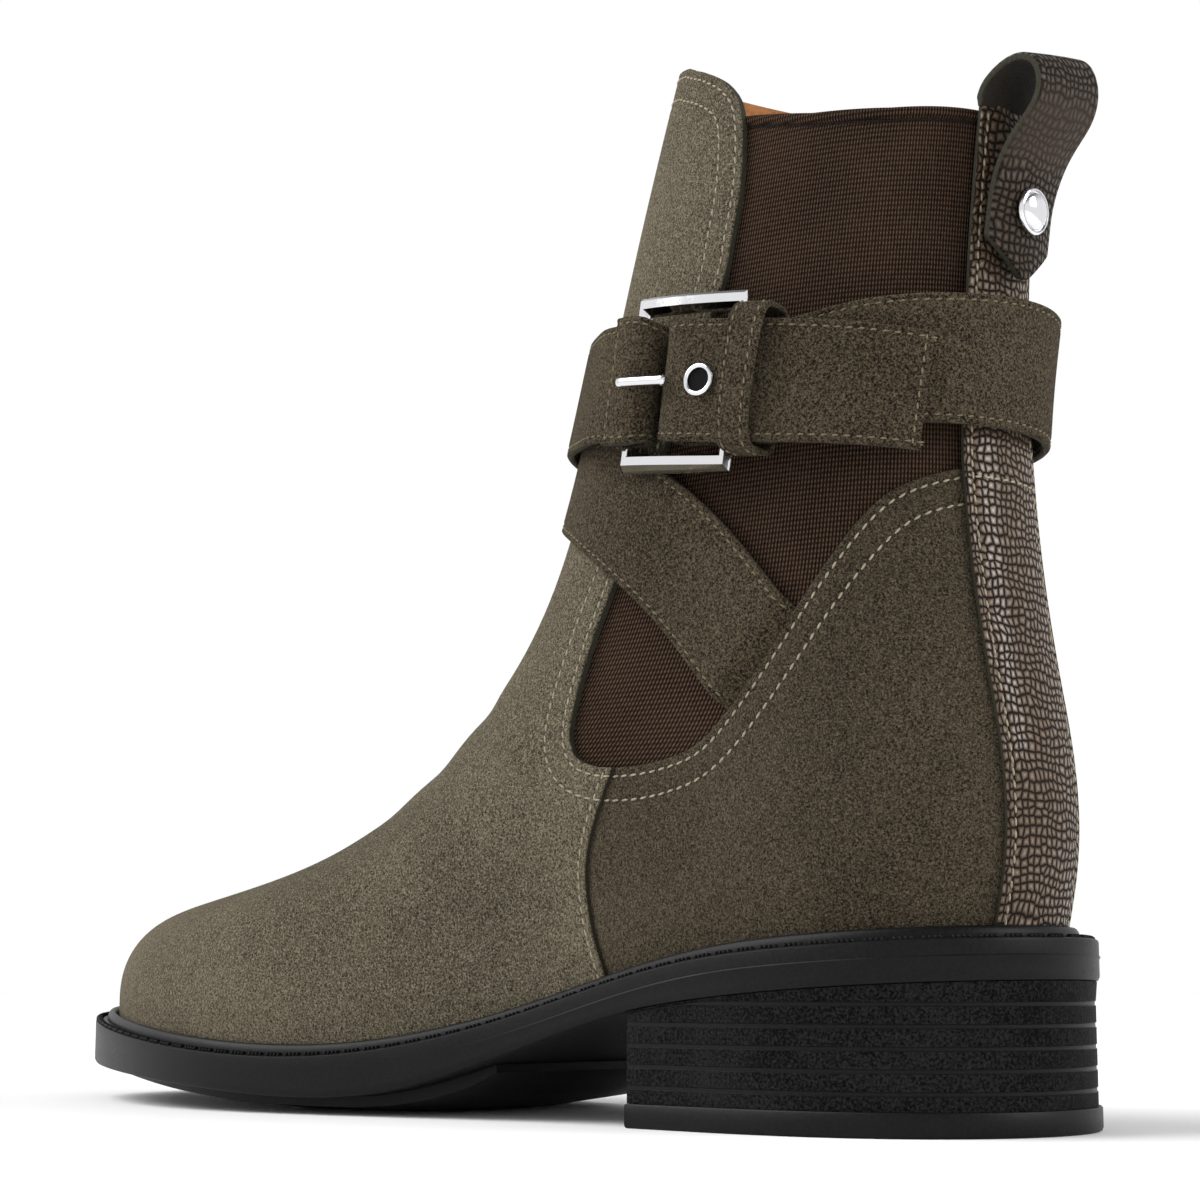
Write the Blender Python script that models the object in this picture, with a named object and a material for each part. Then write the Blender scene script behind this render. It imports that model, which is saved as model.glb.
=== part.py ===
"""Left suede ankle boot with crossed harness straps, built as separate solids.

Boot coordinates are millimetres: forward from the rear of the sole, left towards the outer side of
this left boot, and up from the floor. The world is in metres with +Z up, the toe towards -Y and the
outer side towards +X.
"""
import math

import bmesh
import bpy
import numpy as np

MM = 0.001
ORIGIN_FORWARD = 128.25
ORIGIN_LEFT = -0.05

# Wall and gap sizes
CLEARANCE = 0.3
UPPER_WALL = 2.0
VAMP_STEP = 0.6
WELT_THICKNESS = 2.8
HEEL_MARGIN = 5.7
TOE_MARGIN = 5.2

# Grid of the upper: columns round the boot and rows from sole to collar
GRID_COLUMNS = 52
GRID_ROWS = 22
SNAP_DISTANCE = 0.9
SNAP_ROUNDS = 4
# Share of a slope along the level against one along the angle when a point is moved
LEVEL_WEIGHT = 10.0
# Step in angle and level for slopes, and the reach in mm for wider ones
SLOPE_STEP = 1e-4
SLOPE_REACH = 0.5
# Distances in mm at which a point counts as on a line
ON_LINE = 0.02
NEAR_LINE = 0.05
HALVINGS = 40
SEARCH_ROUNDS = 8
TINY = 1e-9

# Loops round the sole
SOLE_POINTS = 64
MARGIN_FROM = 60.0
MARGIN_TO = 160.0
EDGE_ROUND = 0.8
BEAD_WIDTH = 2.3
BEAD_HEIGHT = 2.1
INSOLE_THICKNESS = 2.8
INSOLE_GAP = 1.0

# Heel
HEEL_LENGTH = 69.0
HEEL_POINTS = 30
LIFT_HEIGHT = 4.2
GROOVE_FIRST = 7.1
GROOVE_SPACING = 3.65
GROOVE_COUNT = 5
GROOVE_DEPTH = 0.5
GROOVE_HALF = 0.4
GROOVE_SQUEEZE = 0.5
STACK_INSET = -0.8
STACK_TOP_INSET = -0.5
LIFT_INSET = -0.1
LIFT_EDGE = 0.7

# Forefoot tread seen from the side: forward place and lower face. Its edge lies under the sole's edge
# and its flat lies further in, so that the sole is rounded across
TREAD_EDGE_INSET = -6.0
TREAD_FLAT_INSET = -24.0
TREAD_EDGE_SHARE = 0.45
TREAD_GAP = 0.45
TREAD_PROFILE = (
    (106.0, 7.4),
    (113.0, 3.6),
    (121.0, 1.4),
    (129.0, 0.4),
    (137.0, 0.0),
    (145.0, 0.0),
    (155.0, 0.0),
    (168.0, 0.0),
    (185.0, 1.5),
    (208.0, 3.7),
    (230.0, 5.2),
)

# Opening for the elastic seen from the side: forward place and height, from the collar's front down,
# along the bottom and up the quarter to the rear
GORE_OUTLINE = (
    (68.0, 205.0),
    (66.0, 197.6),
    (59.5, 194.4),
    (52.8, 189.8),
    (49.0, 183.5),
    (48.6, 171.0),
    (50.6, 160.0),
    (53.2, 150.0),
    (66.0, 122.5),
    (79.0, 95.0),
    (83.0, 84.5),
    (85.6, 73.0),
    (84.6, 67.2),
    (80.5, 64.6),
    (73.0, 64.0),
    (64.5, 65.0),
    (57.0, 67.4),
    (50.0, 73.4),
    (41.0, 83.6),
    (30.5, 97.4),
    (21.5, 108.6),
    (13.0, 113.8),
    (-8.0, 115.0),
    (-8.0, 205.0),
)
GORE_TOP = ((-10.0, 179.6), (20.0, 179.4), (34.0, 180.4), (49.0, 183.2), (75.0, 186.0))
GORE_OUTER = -1.1
GORE_INNER = -2.4
GORE_GAP = 0.4
GORE_SPLIT = -3.0

# Side seam where the vamp lies over the quarter: forward place and height
SIDE_SEAM = (
    (76.0, 10.0),
    (79.6, 28.0),
    (82.2, 38.0),
    (82.6, 46.0),
    (80.4, 54.0),
    (76.4, 63.0),
    (72.0, 72.0),
    (55.0, 110.0),
    (40.0, 160.0),
    (30.0, 215.0),
)

# Embossed back strip: height and half width
STRIP_WIDTHS = ((30.0, 10.4), (62.0, 10.3), (115.0, 10.3), (145.0, 8.9), (182.0, 8.4))
STRIP_THICKNESS = 1.2
STRIP_SEAM_COVER = 1.2

# Straps
STRAP_THICKNESS = 1.8
# Routes of the straps on the upper: turn round the boot from the rear in degrees, height, slant in
# degrees, rise of the strap's middle over the upper, width, and how much further the upper edge stands off
STRAP_COLUMNS = ("turn", "up", "slant", "rise", "width", "lean")
WRAP_STRAP = (
    (64.5, 81.6, 42.0, 0.9, 22.4, 0.0),
    (73.0, 88.5, 41.0, 0.9, 22.4, 0.0),
    (83.0, 96.5, 38.0, 1.0, 22.4, 0.0),
    (95.0, 104.5, 32.0, 1.3, 22.4, 0.0),
    (109.0, 111.6, 23.0, 1.4, 22.4, 0.0),
    (127.0, 118.2, 14.0, 1.4, 22.4, 0.0),
    (150.0, 123.0, 9.0, 1.4, 22.4, 0.0),
    (180.0, 126.4, 6.0, 1.4, 22.4, 0.0),
    (210.0, 129.0, 5.0, 1.4, 22.4, 0.0),
    (240.0, 131.0, 4.0, 1.4, 22.6, 0.0),
    (272.0, 132.2, 2.0, 1.6, 23.0, 0.4),
    (305.0, 132.8, 0.0, 2.6, 23.4, 1.2),
    (333.0, 132.8, 0.0, 4.0, 23.4, 2.4),
    (360.0, 132.6, 0.0, 4.8, 23.4, 2.6),
    (387.0, 132.2, 0.0, 4.6, 23.0, 1.2),
    (410.0, 131.4, 2.0, 3.4, 22.6, 0.2),
    (432.0, 130.2, 3.0, 2.5, 22.0, 0.0),
    (446.0, 131.6, 6.0, 2.5, 21.6, 0.0),
    (452.6, 132.2, 7.0, 3.1, 21.0, 0.0),
    (454.6, 132.4, 7.0, 5.1, 20.8, 0.0),
    (452.6, 132.2, 7.0, 7.1, 20.8, 0.0),
    (445.0, 131.4, 7.0, 7.7, 20.8, 0.0),
    (430.0, 129.6, 8.0, 7.7, 20.8, 0.0),
    (410.0, 127.2, 9.0, 7.7, 20.4, 0.0),
    (391.0, 124.9, 9.0, 8.2, 20.0, 0.0),
)
BUCKLE_STRAP = (
    (295.5, 81.6, -42.0, 0.9, 22.4, 0.0),
    (287.0, 88.5, -41.0, 0.9, 22.4, 0.0),
    (277.0, 96.0, -38.0, 1.3, 22.4, 0.0),
    (265.0, 103.2, -34.0, 2.6, 22.4, 0.0),
    (251.0, 110.8, -30.0, 3.9, 22.4, 0.0),
    (238.0, 117.0, -28.0, 4.0, 22.4, 0.0),
    (225.0, 122.4, -26.0, 4.0, 22.4, 0.0),
    (210.0, 127.8, -22.0, 4.0, 22.4, 0.0),
    (195.0, 132.2, -16.0, 4.0, 22.4, 0.0),
    (180.0, 135.2, -10.0, 4.0, 22.4, 0.0),
    (165.0, 136.8, -4.0, 4.0, 22.4, 0.0),
    (150.0, 137.0, 2.0, 4.1, 22.4, 0.0),
    (137.0, 136.2, 4.0, 4.4, 22.4, 0.0),
    (125.0, 135.2, 5.0, 5.6, 22.4, 0.0),
    (116.0, 134.6, 6.0, 7.0, 22.4, 0.0),
    (108.0, 133.9, 6.0, 7.6, 22.4, 0.0),
    (101.6, 133.3, 7.0, 7.0, 22.4, 0.0),
    (99.8, 133.1, 7.0, 5.0, 22.4, 0.0),
    (101.6, 133.3, 7.0, 3.0, 22.4, 0.0),
    (108.0, 133.9, 7.0, 2.4, 22.4, 0.0),
)
STRAP_STEP = 5.0
STRAP_LANES = (-0.5, -0.17, 0.17, 0.5)

# Buckle, on the outer side: along the strap, up and out from the upper, with its front end tilted up
BUCKLE_FORWARD = 57.2
BUCKLE_UP = 132.2
BUCKLE_TILT = 7.0
BUCKLE_LENGTH = 24.8
BUCKLE_HEIGHT = 33.0
BUCKLE_RISE = 4.1
BUCKLE_THICKNESS = 1.9
BUCKLE_BAR = 3.4
BUCKLE_POST = 1.9
BUCKLE_PARTS = 6
PRONG_RADIUS = 1.0
PRONG_FROM = 10.6
PRONG_TO = -0.6
PRONG_UP = -0.6
PRONG_RISE = 10.0
PRONG_POINTS = 10
KEEPER_FROM = -19.0
KEEPER_TO = -12.7
KEEPER_LEATHER = 1.2
KEEPER_UP = 0.2
KEEPER_HALF = 12.4
KEEPER_LOW = 1.1
KEEPER_HIGH = 10.2
EYELET_ALONG = -6.8
EYELET_UP = -0.5
EYELET_RISE = 8.9
EYELET_OUTER = 3.0
EYELET_HOLE = 2.1
EYELET_HEIGHT = 0.7
EYELET_POINTS = 20

# Pull loop seen from the side: forward place and height of its middle from the collar over the top and
# down to its pointed end, how far its edges bend forward round the heel, and how far its inner edge is raised
LOOP_COLUMNS = ("forward", "up", "cup", "tilt")
LOOP_PATH = (
    (7.7, 180.95, 1.5, -0.3),
    (6.9, 184.2, 1.2, 0.8),
    (4.6, 187.0, 0.8, 1.5),
    (1.4, 188.4, 0.5, 1.8),
    (-1.8, 187.4, 0.4, 1.6),
    (-3.6, 184.4, 0.4, 1.2),
    (-3.8, 180.8, 0.4, 0.9),
    (-2.6, 177.6, 0.5, 0.6),
    (-0.2, 174.6, 0.7, 0.4),
    (2.2, 171.4, 1.0, 0.2),
    (4.0, 167.6, 1.3, 0.0),
    (5.2, 163.0, 1.6, 0.0),
    (5.8, 158.0, 1.8, 0.0),
    (6.4, 153.0, 1.9, 0.0),
    (6.8, 149.0, 1.9, 0.0),
)
LOOP_STEPS = 26
LOOP_LANES = (1.0, 0.5, 0.0, -0.5, -1.0)
LOOP_HALF = 9.0
LOOP_THICKNESS = 1.5
LOOP_POINT = 7.0
LOOP_TIP_HALF = 1.6
STUD_UP = 161.2
STUD_RADIUS = 4.2
STUD_HEIGHT = 2.0
STUD_GAP = 0.6
STUD_POINTS = 16
STUD_SHARES = (0.0, 0.35, 0.7, 0.93)

# Sole seen from the side: forward place, lower edge of the side wall and upper edge of the welt
SOLE_COLUMNS = ("forward", "wall_bottom", "welt_top")
SOLE_PROFILE = (
    (-8.0, 25.8, 33.0),
    (0.0, 25.6, 32.8),
    (30.0, 24.2, 31.4),
    (52.0, 22.4, 29.4),
    (70.0, 20.0, 26.2),
    (90.0, 15.0, 21.2),
    (110.0, 9.0, 16.3),
    (128.0, 4.6, 13.0),
    (148.0, 3.3, 11.3),
    (178.0, 4.8, 12.2),
    (210.0, 6.6, 14.8),
    (240.0, 7.8, 17.2),
    (270.0, 9.0, 19.4),
)

# Centre line of the boot seen from above: forward place and shift to the outer side
CENTRE_LINE = (
    (-10.0, 0.0),
    (60.0, 0.0),
    (110.0, 2.2),
    (165.0, 1.6),
    (215.0, -2.6),
    (262.0, -7.0),
)
SHAFT_LEAN = -4.0
SHAFT_LEAN_HEIGHT = 170.0

# Sections of the last from the sole up. Each is a ring with a rear and a front point, half widths at
# fixed angles round the ring from the rear, and the share of the sole's side curve that it keeps.
RING_ANGLES = (0.0, 22.0, 45.0, 78.0, 112.0, 148.0, 165.0, 180.0)
LAST_COLUMNS = ("rear_f", "rear_z", "front_f", "front_z",
                "w22", "w45", "w78", "w112", "w148", "w165", "sag")
LAST = (
    (5.0, 33.0, 256.0, 18.7, 20.0, 29.5, 28.0, 41.5, 27.0, 15.0, 1.00),
    (3.2, 42.0, 256.0, 27.5, 20.5, 31.0, 29.5, 43.0, 27.0, 14.8, 0.95),
    (2.4, 49.0, 252.0, 35.5, 20.5, 31.0, 30.0, 42.0, 25.0, 13.5, 0.86),
    (2.4, 56.0, 236.0, 41.5, 20.0, 30.5, 30.5, 39.5, 23.0, 13.0, 0.72),
    (3.2, 64.0, 205.0, 46.0, 19.0, 29.5, 30.5, 36.0, 21.5, 12.0, 0.55),
    (4.8, 73.0, 168.0, 54.0, 17.5, 28.0, 30.0, 33.0, 20.5, 11.5, 0.34),
    (7.2, 86.0, 135.5, 72.0, 15.5, 26.0, 29.5, 30.5, 19.0, 10.5, 0.15),
    (9.8, 106.0, 113.0, 99.5, 13.5, 24.0, 29.0, 28.5, 16.5, 8.5, 0.04),
    (11.0, 132.0, 100.5, 137.0, 12.0, 22.0, 28.5, 27.0, 15.0, 7.5, 0.0),
    (10.0, 158.0, 91.5, 171.0, 11.5, 21.0, 28.0, 26.0, 14.3, 7.0, 0.0),
    (8.0, 180.0, 82.0, 203.0, 11.3, 20.5, 27.5, 25.5, 13.8, 6.8, 0.0),
)


def spline_slopes(xs, ys):
    """Second derivatives of the natural cubic spline through the points."""
    count = len(xs)
    step = np.diff(xs)
    system = np.eye(count)
    right = np.zeros(count)
    for k in range(1, count - 1):
        system[k, k - 1] = step[k - 1]
        system[k, k] = 2.0 * (step[k - 1] + step[k])
        system[k, k + 1] = step[k]
        right[k] = 6.0 * ((ys[k + 1] - ys[k]) / step[k] - (ys[k] - ys[k - 1]) / step[k - 1])
    return np.linalg.solve(system, right)


def spline(xs, ys, x):
    """Natural cubic spline through (xs, ys), read at x."""
    xs = np.asarray(xs, float)
    ys = np.asarray(ys, float)
    x = np.asarray(x, float)
    bend = spline_slopes(xs, ys)
    k = np.clip(np.searchsorted(xs, x) - 1, 0, len(xs) - 2)
    h = xs[k + 1] - xs[k]
    a = (xs[k + 1] - x) / h
    b = (x - xs[k]) / h
    curve = ((a ** 3 - a) * bend[k] + (b ** 3 - b) * bend[k + 1]) * h * h / 6.0
    return a * ys[k] + b * ys[k + 1] + curve


def sole_height(forward, column):
    """Height of a named edge of the sole at a forward place."""
    rows = np.array(SOLE_PROFILE)
    return spline(rows[:, 0], rows[:, SOLE_COLUMNS.index(column)], forward)


def centre_shift(forward, height):
    """Shift of the centre line to the outer side."""
    rows = np.array(CENTRE_LINE)
    return spline(rows[:, 0], rows[:, 1], forward) + SHAFT_LEAN * height / SHAFT_LEAN_HEIGHT


class LastSurface:
    """Outer face of the upper over an angle round the boot and a level from sole (0) to collar (1)."""

    def __init__(self):
        rows = np.array(LAST)
        self.levels = np.linspace(0.0, 1.0, len(rows))
        self.rows = rows
        self.bends = np.stack([spline_slopes(self.levels, rows[:, c]) for c in range(rows.shape[1])], 1)
        angles = np.radians(RING_ANGLES)
        count = len(angles)
        basis = np.stack([spline_slopes(angles, np.eye(count)[k]) for k in range(count)], 1)
        self.angles = angles
        self.ring_bends = basis

    def columns(self, level):
        """Every column of the section table read at a level."""
        level = np.asarray(level, float)
        k = np.clip(np.searchsorted(self.levels, level) - 1, 0, len(self.levels) - 2)
        h = self.levels[k + 1] - self.levels[k]
        a = ((self.levels[k + 1] - level) / h)[..., None]
        b = ((level - self.levels[k]) / h)[..., None]
        h2 = (h * h / 6.0)[..., None]
        curve = ((a ** 3 - a) * self.bends[k] + (b ** 3 - b) * self.bends[k + 1]) * h2
        return a * self.rows[k] + b * self.rows[k + 1] + curve

    def half_width(self, folded, cols):
        """Half width of a ring at an angle between 0 (rear) and pi (front)."""
        zero = np.zeros(folded.shape + (1,))
        first = LAST_COLUMNS.index("w22")
        last = LAST_COLUMNS.index("w165") + 1
        widths = np.concatenate([zero, cols[..., first:last], zero], -1)
        bends = widths @ self.ring_bends.T
        k = np.clip(np.searchsorted(self.angles, folded) - 1, 0, len(self.angles) - 2)
        h = self.angles[k + 1] - self.angles[k]
        a = (self.angles[k + 1] - folded) / h
        b = (folded - self.angles[k]) / h
        low = np.take_along_axis(widths, k[..., None], -1)[..., 0]
        high = np.take_along_axis(widths, k[..., None] + 1, -1)[..., 0]
        low_bend = np.take_along_axis(bends, k[..., None], -1)[..., 0]
        high_bend = np.take_along_axis(bends, k[..., None] + 1, -1)[..., 0]
        return a * low + b * high + ((a ** 3 - a) * low_bend + (b ** 3 - b) * high_bend) * h * h / 6.0

    def points(self, angle, level):
        """Points (forward, left, up) at angles in radians; 0 to pi is the outer side."""
        angle = np.asarray(angle, float)
        level = np.broadcast_to(np.asarray(level, float), angle.shape)
        turn = np.mod(angle, 2.0 * math.pi)
        folded = np.where(turn > math.pi, 2.0 * math.pi - turn, turn)
        side = np.where(turn > math.pi, -1.0, 1.0)
        cols = self.columns(level)
        share = (1.0 - np.cos(folded)) / 2.0
        rear_f, rear_z, front_f, front_z = (cols[..., k] for k in range(4))
        forward = rear_f + share * (front_f - rear_f)
        foot = self.rows[0]
        foot_forward = foot[0] + share * (foot[2] - foot[0])
        foot_chord = foot[1] + share * (foot[3] - foot[1])
        sole_curve = sole_height(foot_forward, "welt_top") + CLEARANCE - foot_chord
        up = rear_z + share * (front_z - rear_z) + cols[..., LAST_COLUMNS.index("sag")] * sole_curve
        left = side * self.half_width(folded, cols) + centre_shift(forward, up)
        return np.stack([forward, left, up], -1)

    def normals(self, angle, level):
        """Outward unit normals."""
        angle = np.asarray(angle, float)
        level = np.broadcast_to(np.asarray(level, float), angle.shape)
        step = SLOPE_STEP
        low = np.clip(level - step, 0.0, 1.0)
        high = np.clip(level + step, 0.0, 1.0)
        round_way = self.points(angle + step, level) - self.points(angle - step, level)
        up_way = self.points(angle, high) - self.points(angle, low)
        normal = np.cross(up_way, round_way)
        length = np.linalg.norm(normal, axis=-1, keepdims=True)
        return normal / np.maximum(length, TINY)


SURFACE = LastSurface()


def level_at(angle, height):
    """Levels at which the surface has the given heights."""
    angle = np.asarray(angle, float)
    low = np.zeros_like(angle)
    high = np.ones_like(angle)
    for _ in range(HALVINGS):
        middle = (low + high) / 2.0
        above = SURFACE.points(angle, middle)[..., 2] > height
        high = np.where(above, middle, high)
        low = np.where(above, low, middle)
    return (low + high) / 2.0


def nearest(points, angle, level):
    """Angles and levels of the surface points nearest to the given points."""
    step = SLOPE_STEP
    for _ in range(SEARCH_ROUNDS):
        base = SURFACE.points(angle, level)
        by_angle = (SURFACE.points(angle + step, level) - base) / step
        by_level = (SURFACE.points(angle, level + step) - base) / step
        miss = points - base
        aa = np.sum(by_angle * by_angle, -1)
        al = np.sum(by_angle * by_level, -1)
        ll = np.sum(by_level * by_level, -1)
        ra = np.sum(by_angle * miss, -1)
        rl = np.sum(by_level * miss, -1)
        det = np.maximum(aa * ll - al * al, TINY)
        angle = angle + np.clip((ra * ll - rl * al) / det, -0.2, 0.2)
        level = np.clip(level + np.clip((rl * aa - ra * al) / det, -0.05, 0.05), 0.0, 1.0)
    return angle, level


def to_world(points):
    """World coordinates in metres of points in boot coordinates."""
    points = np.asarray(points, float)
    across = points[..., 1] - ORIGIN_LEFT
    along = ORIGIN_FORWARD - points[..., 0]
    return np.stack([across, along, points[..., 2]], -1) * MM


def make_material(name, colour, roughness, metallic):
    """Principled material of one piece."""
    material = bpy.data.materials.new(name)
    material.use_nodes = True
    shader = material.node_tree.nodes["Principled BSDF"]
    shader.inputs["Base Color"].default_value = (*colour, 1.0)
    shader.inputs["Roughness"].default_value = roughness
    shader.inputs["Metallic"].default_value = metallic
    material.diffuse_color = (*colour, 1.0)
    return material


def make_piece(name, points, faces, finish):
    """One named solid from boot coordinates, with its faces turned outward."""
    mesh = bpy.data.meshes.new(name)
    mesh.from_pydata([tuple(p) for p in to_world(points)], [], [tuple(f) for f in faces])
    shell = bmesh.new()
    shell.from_mesh(mesh)
    bmesh.ops.triangulate(shell, faces=shell.faces[:])
    bmesh.ops.recalc_face_normals(shell, faces=shell.faces[:])
    shell.to_mesh(mesh)
    shell.free()
    mesh.shade_smooth()
    mesh.set_sharp_from_angle(angle=math.radians(35.0))
    mesh.materials.append(make_material(name, *finish))
    piece = bpy.data.objects.new(name, mesh)
    bpy.context.scene.collection.objects.link(piece)
    return piece


def loop_faces(first, second, closed=True):
    """Quads between two loops of vertex numbers."""
    count = len(first)
    last = count if closed else count - 1
    faces = []
    for k in range(last):
        n = (k + 1) % count
        faces.append((first[k], first[n], second[n], second[k]))
    return faces


def pair_cap(loop):
    """Strips across a loop that starts at the rear and runs round the boot."""
    count = len(loop)
    half = count // 2
    faces = [(loop[0], loop[1], loop[count - 1])]
    for k in range(1, half - 1):
        faces.append((loop[k], loop[k + 1], loop[count - k - 1], loop[count - k]))
    faces.append((loop[half - 1], loop[half], loop[half + 1]))
    return faces


def ladder_cap(loop):
    """Strips across an open row of points that ends with its mirror image."""
    count = len(loop)
    half = count // 2
    return [(loop[k], loop[k + 1], loop[count - k - 2], loop[count - k - 1]) for k in range(half - 1)]


def stacked_solid(name, loops, cap, finish):
    """Closed solid through loops of equal length, capped at both ends."""
    points = np.concatenate(loops)
    count = len(loops[0])
    numbers = [list(range(k * count, (k + 1) * count)) for k in range(len(loops))]
    faces = []
    for low, high in zip(numbers, numbers[1:]):
        faces += loop_faces(low, high)
    faces += cap(numbers[0])
    faces += cap(numbers[-1])
    return make_piece(name, points, faces, finish)


def smooth_share(value, start, end):
    """0 before start, 1 after end, smooth between."""
    share = np.clip((np.asarray(value, float) - start) / (end - start), 0.0, 1.0)
    return share * share * (3.0 - 2.0 * share)


def sole_margin(forward):
    """How far the sole reaches past the foot of the upper."""
    share = smooth_share(forward, MARGIN_FROM, MARGIN_TO)
    return HEEL_MARGIN + (TOE_MARGIN - HEEL_MARGIN) * share


def plan_ring(angles, offset, from_edge=True):
    """Forward and left places on the foot line, moved out by an offset in plan."""
    step = SLOPE_STEP
    foot = SURFACE.points(angles, np.zeros_like(angles))
    ahead = SURFACE.points(angles + step, np.zeros_like(angles))
    behind = SURFACE.points(angles - step, np.zeros_like(angles))
    way = ahead[:, :2] - behind[:, :2]
    out = np.stack([-way[:, 1], way[:, 0]], -1)
    out /= np.linalg.norm(out, axis=1, keepdims=True)
    reach = offset + (sole_margin(foot[:, 0]) if from_edge else 0.0)
    return foot[:, :2] + out * np.reshape(reach, (-1, 1))


def sole_loop(offset, height, from_edge=True):
    """Loop round the whole sole; height is a function of the forward place."""
    angles = np.linspace(0.0, 2.0 * math.pi, SOLE_POINTS, endpoint=False)
    plan = plan_ring(angles, offset, from_edge)
    return np.column_stack([plan, height(plan[:, 0])])


def welt_top(forward):
    return sole_height(forward, "welt_top")


def welt_bottom(forward):
    return welt_top(forward) - WELT_THICKNESS


def wall_bottom(forward):
    return sole_height(forward, "wall_bottom")


RUBBER = ((0.022, 0.022, 0.023), 0.55, 0.0)
STACK = ((0.016, 0.016, 0.016), 0.6, 0.0)
SUEDE = ((0.098, 0.083, 0.061), 0.95, 0.0)
ELASTIC = ((0.030, 0.021, 0.015), 0.9, 0.0)
LIZARD = ((0.088, 0.068, 0.050), 0.45, 0.0)
TAN = ((0.42, 0.22, 0.09), 0.7, 0.0)
CHROME = ((0.78, 0.78, 0.78), 0.15, 1.0)


def make_outsole():
    """Moulded sole: side wall, arch and toe spring."""
    loops = [
        sole_loop(-EDGE_ROUND, wall_bottom),
        sole_loop(0.0, lambda f: wall_bottom(f) + EDGE_ROUND),
        sole_loop(0.0, lambda f: welt_bottom(f) - CLEARANCE - EDGE_ROUND / 2.0),
        sole_loop(-EDGE_ROUND / 2.0, lambda f: welt_bottom(f) - CLEARANCE),
    ]
    stacked_solid("outsole", loops, pair_cap, RUBBER)


def make_welt():
    """Welt with a flat ledge and a round bead that stands against the upper."""
    bead = []
    for k in range(5):
        turn = math.pi * k / 4.0
        reach = CLEARANCE + BEAD_WIDTH * (0.5 + 0.5 * math.cos(turn))
        lift = BEAD_HEIGHT * math.sin(turn)
        bead.append((reach, lift))
    loops = [
        sole_loop(-EDGE_ROUND / 2.0, welt_bottom),
        sole_loop(0.0, lambda f: welt_bottom(f) + EDGE_ROUND / 2.0),
        sole_loop(0.0, lambda f: welt_top(f) - EDGE_ROUND / 2.0),
        sole_loop(-EDGE_ROUND / 2.0, welt_top),
    ]
    for reach, lift in bead:
        loops.append(sole_loop(reach, lambda f, lift=lift: welt_top(f) + lift, False))
    stacked_solid("welt", loops, pair_cap, RUBBER)


def make_insole():
    """Insole inside the upper's wall, on the welt."""
    inset = -(UPPER_WALL + VAMP_STEP + INSOLE_GAP)
    lower = sole_loop(inset, lambda f: welt_top(f) + CLEARANCE, False)
    upper = sole_loop(inset, lambda f: welt_top(f) + CLEARANCE + INSOLE_THICKNESS, False)
    stacked_solid("insole", [lower, upper], pair_cap, TAN)


def make_tread():
    """Pad under the ball with a flat spot on the floor, following the toe spring in front."""
    rows = np.array(TREAD_PROFILE)
    foot = SURFACE.rows[0]
    share = (rows[:, 0] - foot[0]) / (foot[2] - foot[0])
    angles = np.arccos(1.0 - 2.0 * share)
    angles = np.concatenate([angles, 2.0 * math.pi - angles[::-1]])
    lower = np.concatenate([rows[:, 1], rows[::-1, 1]])
    flat = plan_ring(angles, TREAD_FLAT_INSET)
    edge = plan_ring(angles, TREAD_EDGE_INSET)
    top = wall_bottom(edge[:, 0]) - TREAD_GAP
    side = lower + (top - lower) * TREAD_EDGE_SHARE
    loops = [np.column_stack([flat, lower]), np.column_stack([edge, side]), np.column_stack([edge, top])]
    stacked_solid("forefoot_tread", loops, ladder_cap, RUBBER)


def heel_loop(offset, height):
    """Loop round the heel from the inner breast corner round the rear to the outer one."""
    foot = SURFACE.rows[0]
    share = (HEEL_LENGTH - foot[0]) / (foot[2] - foot[0])
    corner = math.acos(1.0 - 2.0 * share)
    angles = np.linspace(-corner, corner, HEEL_POINTS)
    plan = plan_ring(angles, offset)
    return np.column_stack([plan, height(plan[:, 0])])


def make_heel():
    """Stacked heel with a groove between its layers, and the top lift that meets the floor."""
    def top(forward):
        return wall_bottom(forward) - CLEARANCE

    lift_top = LIFT_HEIGHT + CLEARANCE
    loops = [heel_loop(STACK_INSET, lambda f: np.full_like(f, lift_top))]
    for number in range(GROOVE_COUNT):
        middle = GROOVE_FIRST + number * GROOVE_SPACING
        room = GROOVE_SQUEEZE * (GROOVE_COUNT - number)
        for share, depth in ((-1.0, 0.0), (0.0, GROOVE_DEPTH), (1.0, 0.0)):
            shift = share * GROOVE_HALF

            def height(forward, level=middle + shift, below=room - shift * CLEARANCE):
                return np.minimum(level, top(forward) - below)

            loops.append(heel_loop(STACK_INSET - depth, height))
    loops.append(heel_loop(STACK_TOP_INSET, top))
    stacked_solid("heel_stack", loops, ladder_cap, STACK)
    lift = [
        heel_loop(LIFT_INSET - LIFT_EDGE, lambda f: np.zeros_like(f)),
        heel_loop(LIFT_INSET, lambda f: np.full_like(f, LIFT_EDGE)),
        heel_loop(LIFT_INSET, lambda f: np.full_like(f, LIFT_HEIGHT)),
    ]
    stacked_solid("top_lift", lift, ladder_cap, RUBBER)


def smooth_outline(points, parts=4):
    """Catmull-Rom curve through open points."""
    rows = np.array(points)
    padded = np.concatenate([rows[:1], rows, rows[-1:]])
    curve = []
    for k in range(len(rows) - 1):
        p0, p1, p2, p3 = padded[k:k + 4]
        for t in np.linspace(0.0, 1.0, parts, endpoint=False):
            curve.append(0.5 * (2.0 * p1 + (p2 - p0) * t + (2.0 * p0 - 5.0 * p1 + 4.0 * p2 - p3) * t * t
                                + (3.0 * p1 - p0 - 3.0 * p2 + p3) * t ** 3))
    curve.append(rows[-1])
    return np.array(curve)


GORE_EDGE = np.concatenate([smooth_outline(GORE_OUTLINE[:-2]), np.array(GORE_OUTLINE[-2:])])


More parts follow.
